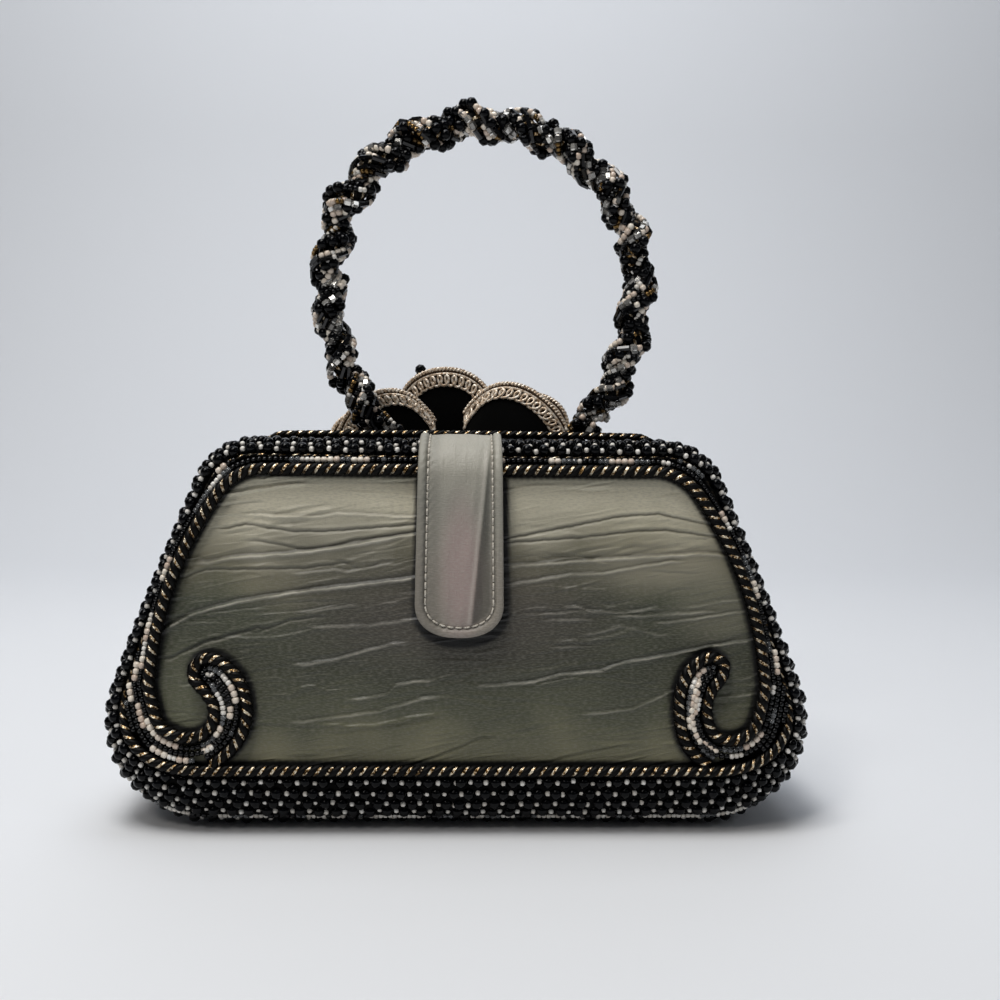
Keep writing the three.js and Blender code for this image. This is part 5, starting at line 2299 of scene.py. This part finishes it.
# Black seed glass is rougher than jet where it is cut from the cane.
BLACK_GLASS = GlassFinish("black_seed_glass", "#030303", "#08080a", 0.13, specular=0.3)
# Clear glass over black thread reads as grey with bright rims.
CLEAR_GLASS = GlassFinish("clear_seed_glass", "#7d8084", "#cfd2d4", 0.06, transmission=0.8)
# Silver-lined cut glass flashes like metal on its facets.
SILVER_GLASS = GlassFinish("silver_lined_cut_glass", "#6d6b68", "#e2dfd9", 0.16, metallic=0.75)
# Black bugles are drawn tubes with flat sides and long streaks of light.
BUGLE_GLASS = GlassFinish("black_bugle_glass", "#040405", "#0a0a0c", 0.1, specular=0.45)
# Bronze-lined seeds.
GOLD_GLASS = GlassFinish("bronze_lined_seed_glass", "#2e2415", "#8a6d40", 0.2, metallic=0.8)

BEAD_FINISHES = {
    Bead.JET: JET_GLASS, Bead.WHITE: WHITE_GLASS, Bead.CREAM: CREAM_GLASS, Bead.BLACK: BLACK_GLASS,
    Bead.CLEAR: CLEAR_GLASS, Bead.SILVER: SILVER_GLASS, Bead.BUGLE: BUGLE_GLASS, Bead.GOLD: GOLD_GLASS}


@dataclass(frozen=True)
class Blot:
    """Soft oval of another colour on a face: its colour, half sizes, middle (all in metres) and strength."""

    colour: str
    half_across: float
    half_up: float
    across: float
    up: float
    share: float


@dataclass(frozen=True)
class SilkFinish:
    """Crinkled shot silk: a dull satin gloss, uneven threads, and a colour that shifts, paler up partly as
    painted light.
    """

    name: str
    stops: Stops
    low_m: float
    high_m: float
    cross: str
    cross_share: float
    # Colour of painted shade, where the tone falls to 0
    shadow: str = "#0a0a09"
    roughness: float = 0.5
    sheen: float = 0.12
    # Real threads are about 0.2 mm apart; they are drawn at 0.4 mm, because finer ones can't show.
    thread_mm: float = 0.4
    thread_length_mm: float = 1.5
    patch_mm: float = 30.0
    crinkle_mm: Pair = (15.0, 2.0)
    crinkle_slope: float = 0.16
    crinkle: float = 0.85
    # Colour of painted light on fold crests, where the tone rises over 1
    crest: str = "#e6e0d0"
    crest_share: float = 0.5
    crinkle_rise_mm: float = 0.5
    weave: float = 0.3
    weave_rise_mm: float = 0.22
    patch_swing: float = 0.36
    cross_range: Pair = (0.42, 0.72)
    sheen_roughness: float = 0.35
    blot_core: float = 0.25
    blots: tuple[Blot, ...] = ()

    def stretched(self, tree: Tree, flat: Socket, across: float, along: float) -> Socket:
        """Return coordinates whose unit is a size across and another along, in millimetres."""
        scale = (1.0 / across, 1.0 / along, 1.0)
        return add_node(tree, "Mapping", {"Vector": flat, "Scale": scale}).outputs["Vector"]

    def ground(self, tree: Tree) -> Socket:
        """Return the ground colour: a ramp over height, palest at the top partly as painted light, with broad
        patches, and the blots on it.

        Args:
            tree: tree that gets the nodes.

        Returns:
            The colour socket.
        """
        place = coordinates(tree, "Object")
        height = add_node(tree, "SeparateXYZ", {"Vector": place}).outputs["Z"]
        patches = noise(tree, place, self.patch_mm * MM, 2.0)
        moved = add_node(tree, "Math", {0: patches, 1: self.patch_swing, 2: -self.patch_swing / 2.0},
                         operation="MULTIPLY_ADD").outputs["Value"]
        factor = add_node(tree, "Math", {0: mapped(tree, height, self.low_m, self.high_m), 1: moved},
                          operation="ADD").outputs["Value"]
        colour_and_painted_light = ramp(tree, factor, self.stops)
        for blot in self.blots:
            scale = (1.0 / blot.half_across, 0.0, 1.0 / blot.half_up)
            middle = (-blot.across * scale[0], 0.0, -blot.up * scale[2])
            around = add_node(tree, "Mapping", {"Vector": place, "Scale": scale, "Location": middle})
            reach = add_node(tree, "VectorMath", {0: around.outputs["Vector"]}, operation="LENGTH")
            inside = mapped(tree, reach.outputs["Value"], 1.0, self.blot_core, blot.share,
                            interpolation_type="SMOOTHSTEP")
            colour_and_painted_light = mixed(tree, inside, colour_and_painted_light, blot.colour)
        return colour_and_painted_light

    def build(self) -> Material:
        """Colour the silk by ground and weft with painted shade and crest light, and raise its threads and
        fine crinkles as bump.

        Returns:
            The material.
        """
        material, tree, shader = new_material(self.name)
        flat = coordinates(tree, "UV")
        weft = noise(tree, self.stretched(tree, flat, self.thread_length_mm, self.thread_mm), 1.0, 2.0)
        warp = noise(tree, self.stretched(tree, flat, self.thread_mm, self.thread_length_mm), 1.0, 2.0)
        weave = add_node(tree, "Math", {0: weft, 1: warp}, operation="ADD").outputs["Value"]
        woven = raised(tree, weave, self.weave, self.weave_rise_mm, {})
        leaning = add_node(tree, "Mapping", {"Vector": flat, "Rotation": (0.0, 0.0, -self.crinkle_slope)})
        pressed = self.stretched(tree, leaning.outputs["Vector"], *self.crinkle_mm)
        folds = add_node(tree, "TexNoise", {
            "Vector": pressed, "Scale": 1.0, "Detail": 3.0, "Roughness": 0.5, "Distortion": 0.5},
            noise_type="RIDGED_MULTIFRACTAL").outputs["Fac"]
        crossing = mapped(tree, weft, *self.cross_range, self.cross_share)
        tone = tone_of(tree)
        shaded = mixed(tree, tone, self.shadow, mixed(tree, crossing, self.ground(tree), self.cross))
        fill(tree, shader, {
            "Base Color": mixed(tree, mapped(tree, tone, 1.0, 2.0, self.crest_share), shaded, self.crest),
            "Normal": raised(tree, folds, self.crinkle, self.crinkle_rise_mm, {"Normal": woven}),
            "Roughness": self.roughness, "Sheen Weight": self.sheen, "Sheen Roughness": self.sheen_roughness})
        return material


# Shot silk of the faces: olive and brown, paler towards the top, partly as painted light on the
# upward-leaning top.
PANEL_SILK = SilkFinish(
    "shot_silk", ((0.0, "#7c795e"), (0.18, "#4c4e3b"), (0.36, "#373a2b"), (0.54, "#454938"),
                  (0.72, "#807c66"), (0.9, "#d2ccb5")),
    0.021, 0.112, "#8a867c", 0.34, blots=(
        Blot("#423c38", 0.075, 0.026, 0.0, 0.07, 0.75), Blot("#3a3b35", 0.044, 0.02, -0.041, 0.089, 0.5),
        Blot("#3a3b35", 0.03, 0.016, 0.026, 0.094, 0.34), Blot("#b5ae9c", 0.034, 0.012, 0.064, 0.085, 0.28),
        Blot("#938f7c", 0.022, 0.017, 0.083, 0.072, 0.35), Blot("#7d8066", 0.02, 0.025, -0.09, 0.042, 0.3)))
# The tab is the same silk, paler, with its crinkles along it, and a dark green-grey painted shade.
TAB_SILK = SilkFinish(
    "tab_silk", ((0.0, "#867f74"), (0.35, "#8f897e"), (0.7, "#929085"), (1.0, "#a8a598")),
    0.06, 0.125, "#aba59c", 0.45, shadow="#252822", crinkle_mm=(2.2, 26.0), crinkle_slope=0.0, crinkle=0.5,
    weave=0.6, crest="#cfc8bf", blots=(Blot("#a5908d", 0.009, 0.03, 0.0005, 0.084, 0.75),))


@dataclass(frozen=True)
class ThreadFinish:
    """Twisted or metallic thread: fine fibres, with specks of colour along it, painted glints on gold and
    gimp.
    """

    name: str
    stops: Stops
    roughness: float
    metallic: float = 0.0
    sheen: float = 0.0
    specular: float = 0.5
    glint_mm: float = 0.8
    fibre_mm: float = 0.3
    fibre_rise_mm: float = 0.15
    fibre: float = 0.3
    # Colour where the tone falls to 0: painted shade on the gold thread, plain black on the petal cloth
    hidden: str = ""

    def build(self) -> Material:
        """Vary the colour in specks of the glint's size, painted glints on gold and gimp, and raise fibres as
        bump.

        A finish with a hidden colour fades to it where the piece's tone falls to 0: painted shade on
        the gold thread, and the plain black of the petal cloth.

        Returns:
            The material.
        """
        material, tree, shader = new_material(self.name)
        place = coordinates(tree, "Object")
        fibres = noise(tree, place, self.fibre_mm * MM, 2.0)
        colour = ramp(tree, noise(tree, place, self.glint_mm * MM, 2.0), self.stops)
        if self.hidden:
            colour = mixed(tree, tone_of(tree), self.hidden, colour)
        fill(tree, shader, {
            "Base Color": colour, "Normal": raised(tree, fibres, self.fibre, self.fibre_rise_mm, {}),
            "Roughness": self.roughness, "Metallic": self.metallic, "Sheen Weight": self.sheen,
            "Specular IOR Level": self.specular})
        return material


# Rayon cord is black with a dull satin light along its plies.
BLACK_CORD = ThreadFinish("black_rayon_cord", ((0.3, "#030303"), (0.7, "#080707")), 0.5, specular=0.12)
# Lurex is metal foil wound on thread; its glints are painted as pale specks, and it is painted
# dark as shade where it turns from the cord's lit side.
GOLD_THREAD = ThreadFinish("gold_foil_thread", ((0.4, "#2a1d0e"), (0.48, "#b98f52"), (0.56, "#fff2d8")), 0.26,
                           metallic=0.7, hidden="#080605")
# Gimp is a dull metallic braid; its specks run from dark tan to near white, partly its own tone and
# partly painted highlight.
GIMP_BRAID = ThreadFinish("metallic_gimp_braid", ((0.3, "#8a6f55"), (0.46, "#e0c8ac"), (0.6, "#fff6e8")),
                          0.36, metallic=0.35)
# Sewing cotton, pale and matt.
COTTON_THREAD = ThreadFinish("pale_cotton_thread", ((0.3, "#b5aea0"), (0.7, "#d8d2c6")), 0.7, sheen=0.2)
# Petals are a black pile cloth that swallows light, browner under the gimp.
PETAL_CLOTH = ThreadFinish("black_pile_cloth", ((0.3, "#2b2119"), (0.7, "#4a3a2d")), 0.9, specular=0.1,
                           hidden="#030303")
# Dark woven backing under the beads.
BACKING_CLOTH = ThreadFinish("black_woven_backing", ((0.3, "#030303"), (0.7, "#090809")), 0.9, specular=0.1)
# Nickel-plated pressed steel of the hidden snap.
SNAP_STEEL = ThreadFinish("nickel_plated_steel", ((0.3, "#8d8d8c"), (0.7, "#b4b3b0")), 0.3, metallic=1.0,
                          glint_mm=3.0, fibre=0.05)


# Studio

@dataclass(frozen=True)
class Lamp:
    """One soft square lamp: place and aim in metres, side in metres, power in watts, and colour."""

    name: str
    place: Triple
    aim: Triple
    side: float
    power: float
    colour: str


@dataclass(frozen=True)
class Studio:
    """Pale sweep, soft lamps and a camera at the photograph's viewing angle."""

    eye_mm: Triple = (3.09, -387.3, 128.9)
    turn_right: float = 1.5
    tip_down: float = 3.7
    roll: float = 0.49
    focal_px: float = 1150.0
    frame_px: float = 1000.0
    sensor_mm: float = 36.0
    half_width: float = 3.0
    front: float = -2.0
    wall_at: float = 1.1
    wall_radius: float = 0.5
    wall_top: float = 2.4
    bend_steps: int = 24
    nearest: float = 0.01
    paper: str = "#e3e5e8"
    paper_roughness: float = 0.7
    lamps: tuple[Lamp, ...] = (
        Lamp("top_lamp", (-0.25, -0.28, 1.2), (0.0, 0.0, 0.05), 0.5, 9.3, "#fffdfa"),
        Lamp("key_lamp", (-0.5, -0.75, 1.0), (0.0, 0.0, 0.08), 0.2, 2.0, "#fff8f0"),
        Lamp("fill_lamp", (0.8, -0.6, 0.7), (0.0, 0.0, 0.1), 0.3, 0.5, "#f4f8ff"),
        Lamp("backdrop_lamp", (0.0, 0.35, 1.5), (0.0, 1.1, 0.6), 1.0, 10.0, "#f4f8ff"))
    world: str = "#dfe3e8"
    world_strength: float = 0.08

    def camera(self) -> None:
        """Stand the camera at the eye, turned right, tipped down and rolled."""
        yaw, pitch, roll = (math.radians(v) for v in (self.turn_right, self.tip_down, self.roll))
        ahead = Vector((math.sin(yaw) * math.cos(pitch), math.cos(yaw) * math.cos(pitch), -math.sin(pitch)))
        right = ahead.cross(Vector(GUIDE_Z)).normalized()
        up = right.cross(ahead)
        across = right * math.cos(roll) + up * math.sin(roll)
        upward = up * math.cos(roll) - right * math.sin(roll)
        lens = bpy.data.cameras.new("camera")
        lens.sensor_width = self.sensor_mm
        lens.lens = self.focal_px / self.frame_px * self.sensor_mm
        lens.clip_start = self.nearest
        view = bpy.data.objects.new("camera", lens)
        columns = Matrix((across, upward, -ahead)).transposed().to_4x4()
        columns.translation = Vector(self.eye_mm) * MM
        view.matrix_world = columns
        bpy.context.scene.collection.objects.link(view)
        bpy.context.scene.camera = view

    def sweep(self) -> None:
        """Lay a floor that curves up into a wall: a line, a quarter circle and a line, drawn across."""
        bend = np.linspace(0.0, math.pi / 2, self.bend_steps)
        y = np.concatenate([[self.front], self.wall_at - self.wall_radius + self.wall_radius * np.sin(bend),
                            [self.wall_at]])
        z = np.concatenate([[0.0], self.wall_radius * (1.0 - np.cos(bend)), [self.wall_top]])
        x = np.array([-self.half_width, self.half_width])
        points = np.stack(np.broadcast_arrays(x[None, :], y[:, None], z[:, None]), axis=-1).reshape(-1, 3)
        mesh = bpy.data.meshes.new("studio_sweep")
        mesh.from_pydata(points.tolist(), [], grid_faces(len(y), 2).tolist())
        mesh.polygons.foreach_set("use_smooth", np.full(len(mesh.polygons), True))
        material, tree, shader = new_material("matt_paper")
        fill(tree, shader, {"Base Color": linear(self.paper), "Roughness": self.paper_roughness})
        mesh.materials.append(material)
        floor = bpy.data.objects.new("studio_sweep", mesh)
        bpy.context.scene.collection.objects.link(floor)

    def light(self) -> None:
        """Hang the lamps and fill the room with an even pale light."""
        for lamp in self.lamps:
            data = bpy.data.lights.new(lamp.name, "AREA")
            data.size = lamp.side
            data.energy = lamp.power
            data.color = linear(lamp.colour)[:3]
            hung = bpy.data.objects.new(lamp.name, data)
            hung.location = lamp.place
            hung.rotation_euler = (Vector(lamp.aim) - Vector(lamp.place)).to_track_quat("-Z", "Y").to_euler()
            bpy.context.scene.collection.objects.link(hung)
        world = bpy.data.worlds.new("studio_room")
        world.use_nodes = True
        ground = world.node_tree.nodes["Background"]
        ground.inputs["Color"].default_value = linear(self.world)
        ground.inputs["Strength"].default_value = self.world_strength
        bpy.context.scene.world = world
        bpy.context.scene.view_settings.view_transform = "Standard"

    def build(self) -> None:
        """Set up the camera, the sweep and the light."""
        self.camera()
        self.sweep()
        self.light()


# The whole bag

@dataclass
class Handbag:
    """All pieces of the bag, dressed on the frame."""

    form: BagForm = BagForm()
    flower: Flower = Flower()
    tab: ClosureTab = ClosureTab()
    handle: RingHandle = field(default_factory=RingHandle)

    def __post_init__(self) -> None:
        """Make the cord routes and the finishes."""
        self.routes = CordRoutes(self.form)
        self.beads = {kind: finish.build() for kind, finish in BEAD_FINISHES.items()}
        self.black_cord = BLACK_CORD.build()
        self.gold_thread = GOLD_THREAD.build()
        self.backing = BACKING_CLOTH.build()

    def build_silk(self) -> None:
        """Stretch the silk over both faces and lay the tab with its stitches."""
        silk = PANEL_SILK.build()
        # The front silk gets painted shade beside its cords and a painted shadow under the tab's lower edge
        front = SilkPanel(self.form, FRONT, FRONT_CREASES,
                          ((self.routes.scrolled_whole(), self.routes.rope_radius),
                           (self.routes.ring(FRONT), self.routes.ring_radius),
                           (self.tab.shadow_line(), self.tab.shadow_half)))
        back_creases = tuple(crease.mirrored() for crease in FRONT_CREASES)
        back = SilkPanel(self.form, BACK, back_creases, ((self.routes.border(), self.routes.rope_radius),),
                         columns=130, rows=170, crinkles=90)
        for name, panel in (("front", front), ("back", back)):
            skin = panel.surface()
            piece = put(f"{name}_silk", skin, silk, replaces=(f"{name}_panel",))
            panel.cut()
        skin = self.tab.surface()
        piece = put("tab_silk", skin, TAB_SILK.build(), replaces=("closure_tab",))
        self.tab.cut()
        put("tab_stitches", self.tab.stitches(), COTTON_THREAD.build())

    def build_cords(self) -> None:
        """Twist the cords with their gold threads."""
        ring = TwistedCord(self.routes.ring_radius)
        rope = TwistedCord(self.routes.rope_radius)
        lip = TwistedCord(self.routes.mouth_radius, gold_edge=0.8, gold_fade=0.16)
        # Each cord's gold is painted lit on the side it faces and painted dark as shade elsewhere
        ahead = FRONT * GUIDE_Y
        scroll_facing = unit(ahead + self.routes.scroll_facing_rise * GUIDE_Z)
        rings = [(f"{name}_ring_cord", ring, path, True, self.routes.ring_shares(path),
                  self.routes.ring_facing(path))
                 for name, path in (("front", self.routes.ring(FRONT)), ("back", self.routes.ring(BACK)))]
        for name, cord, path, is_loop, shares, facing in (
                *rings,
                ("front_scroll_cord", rope, self.routes.scrolled_whole(), False, 1.0, scroll_facing),
                ("back_border_cord", rope, self.routes.border(), True, 1.0, -ahead),
                ("mouth_cord", lip, self.routes.mouth(), False, 1.0, unit(ahead + GUIDE_Z))):
            put(f"{name}_plies", cord.plies(path, is_loop, shares), self.black_cord,
                replaces=(name,))
            put(f"{name}_gold", cord.gold(path, is_loop, shares, facing), self.gold_thread)

    def build_bands(self) -> None:
        """Bead both bands on their backing, with the seed strands beside the inner cords."""
        seeds = BorderSeeds(self.routes)
        for name, side in (("front", FRONT), ("back", BACK)):
            rng = np.random.default_rng(BAND_SEED + side)
            band = BeadedBand(self.form, side, rng)
            put(f"{name}_band_backing", band.backing(), self.backing,
                replaces=(f"{name}_band",))
            tray = BeadTray(rng)
            band.lay_rows(tray)
            ring = self.routes.ring(side)
            if side == FRONT:
                seeds.lay(tray, self.routes.scrolled(True), ring, SCROLL_MIX, -1.0)
                seeds.lay(tray, self.routes.scrolled(False), ring, SCROLL_MIX, 1.0)
            else:
                seeds.lay(tray, self.routes.border(), ring, SEED_MIX, -1.0)
            tray.pour(f"{name}_band", self.beads)

    def build_handle(self) -> None:
        """Wind the handle's strands and flare them into the feet."""
        tray = BeadTray(np.random.default_rng(HANDLE_SEED))
        self.handle.lay_strands(tray)
        plies, gold = self.handle.core()
        put("handle_core_plies", plies, self.black_cord, replaces=("handle_ring",))
        put("handle_core_gold", gold, self.gold_thread)
        tray.pour("handle", self.beads)
        for name, is_right in (("right", True), ("left", False)):
            foot = BeadTray(np.random.default_rng(FOOT_SEED + is_right))
            self.handle.lay_foot(foot, is_right)
            put(f"handle_foot_{name}_core", self.handle.foot_core(is_right), self.backing,
                replaces=(f"handle_foot_{name}",))
            foot.pour(f"handle_foot_{name}", self.beads)

    def build_flower(self) -> None:
        """Sew the flower: its petals, their gimp, the beaded heart and the stamen."""
        cloth = PETAL_CLOTH.build()
        gimp = GIMP_BRAID.build()
        for number, petal in enumerate(self.flower.petals, 1):
            skin = self.flower.cloth(petal)
            piece = put(f"petal_cloth_{number}", skin, cloth, replaces=(f"petal_{number}",))
            put(f"petal_gimp_{number}", self.flower.edging(petal), gimp,
                replaces=(f"petal_trim_{number}",))
        put("flower_heart", self.flower.heart(), cloth, replaces=("flower_centre",))
        tray = BeadTray(np.random.default_rng(FLOWER_SEED))
        self.flower.lay_heart(tray)
        tray.string(self.flower.stamen_line(), STAMEN_MIX)
        buds = self.flower.stamen_line()[-1] + np.array(self.flower.buds)
        tray.lay(Bead.JET, buds, np.broadcast_to(GUIDE_Y, buds.shape))
        tray.pour("flower", self.beads, ("flower_stamen",))

    def build(self, frame: dict) -> None:
        """Build every piece, and give the hidden snap its steel.

        Args:
            frame: what loading the frame returned.
        """
        self.build_silk()
        self.build_cords()
        self.build_bands()
        self.build_handle()
        self.build_flower()
        snap = frame["nodes"]["tab_snap"]
        snap.data.materials.clear()
        snap.data.materials.append(SNAP_STEEL.build())


def main() -> None:
    """Load the frame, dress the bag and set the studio."""
    logging.basicConfig(level=logging.INFO, format="%(name)s %(message)s")
    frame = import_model()
    Studio().build()
    Handbag().build(frame)


if __name__ == "__main__":
    main()
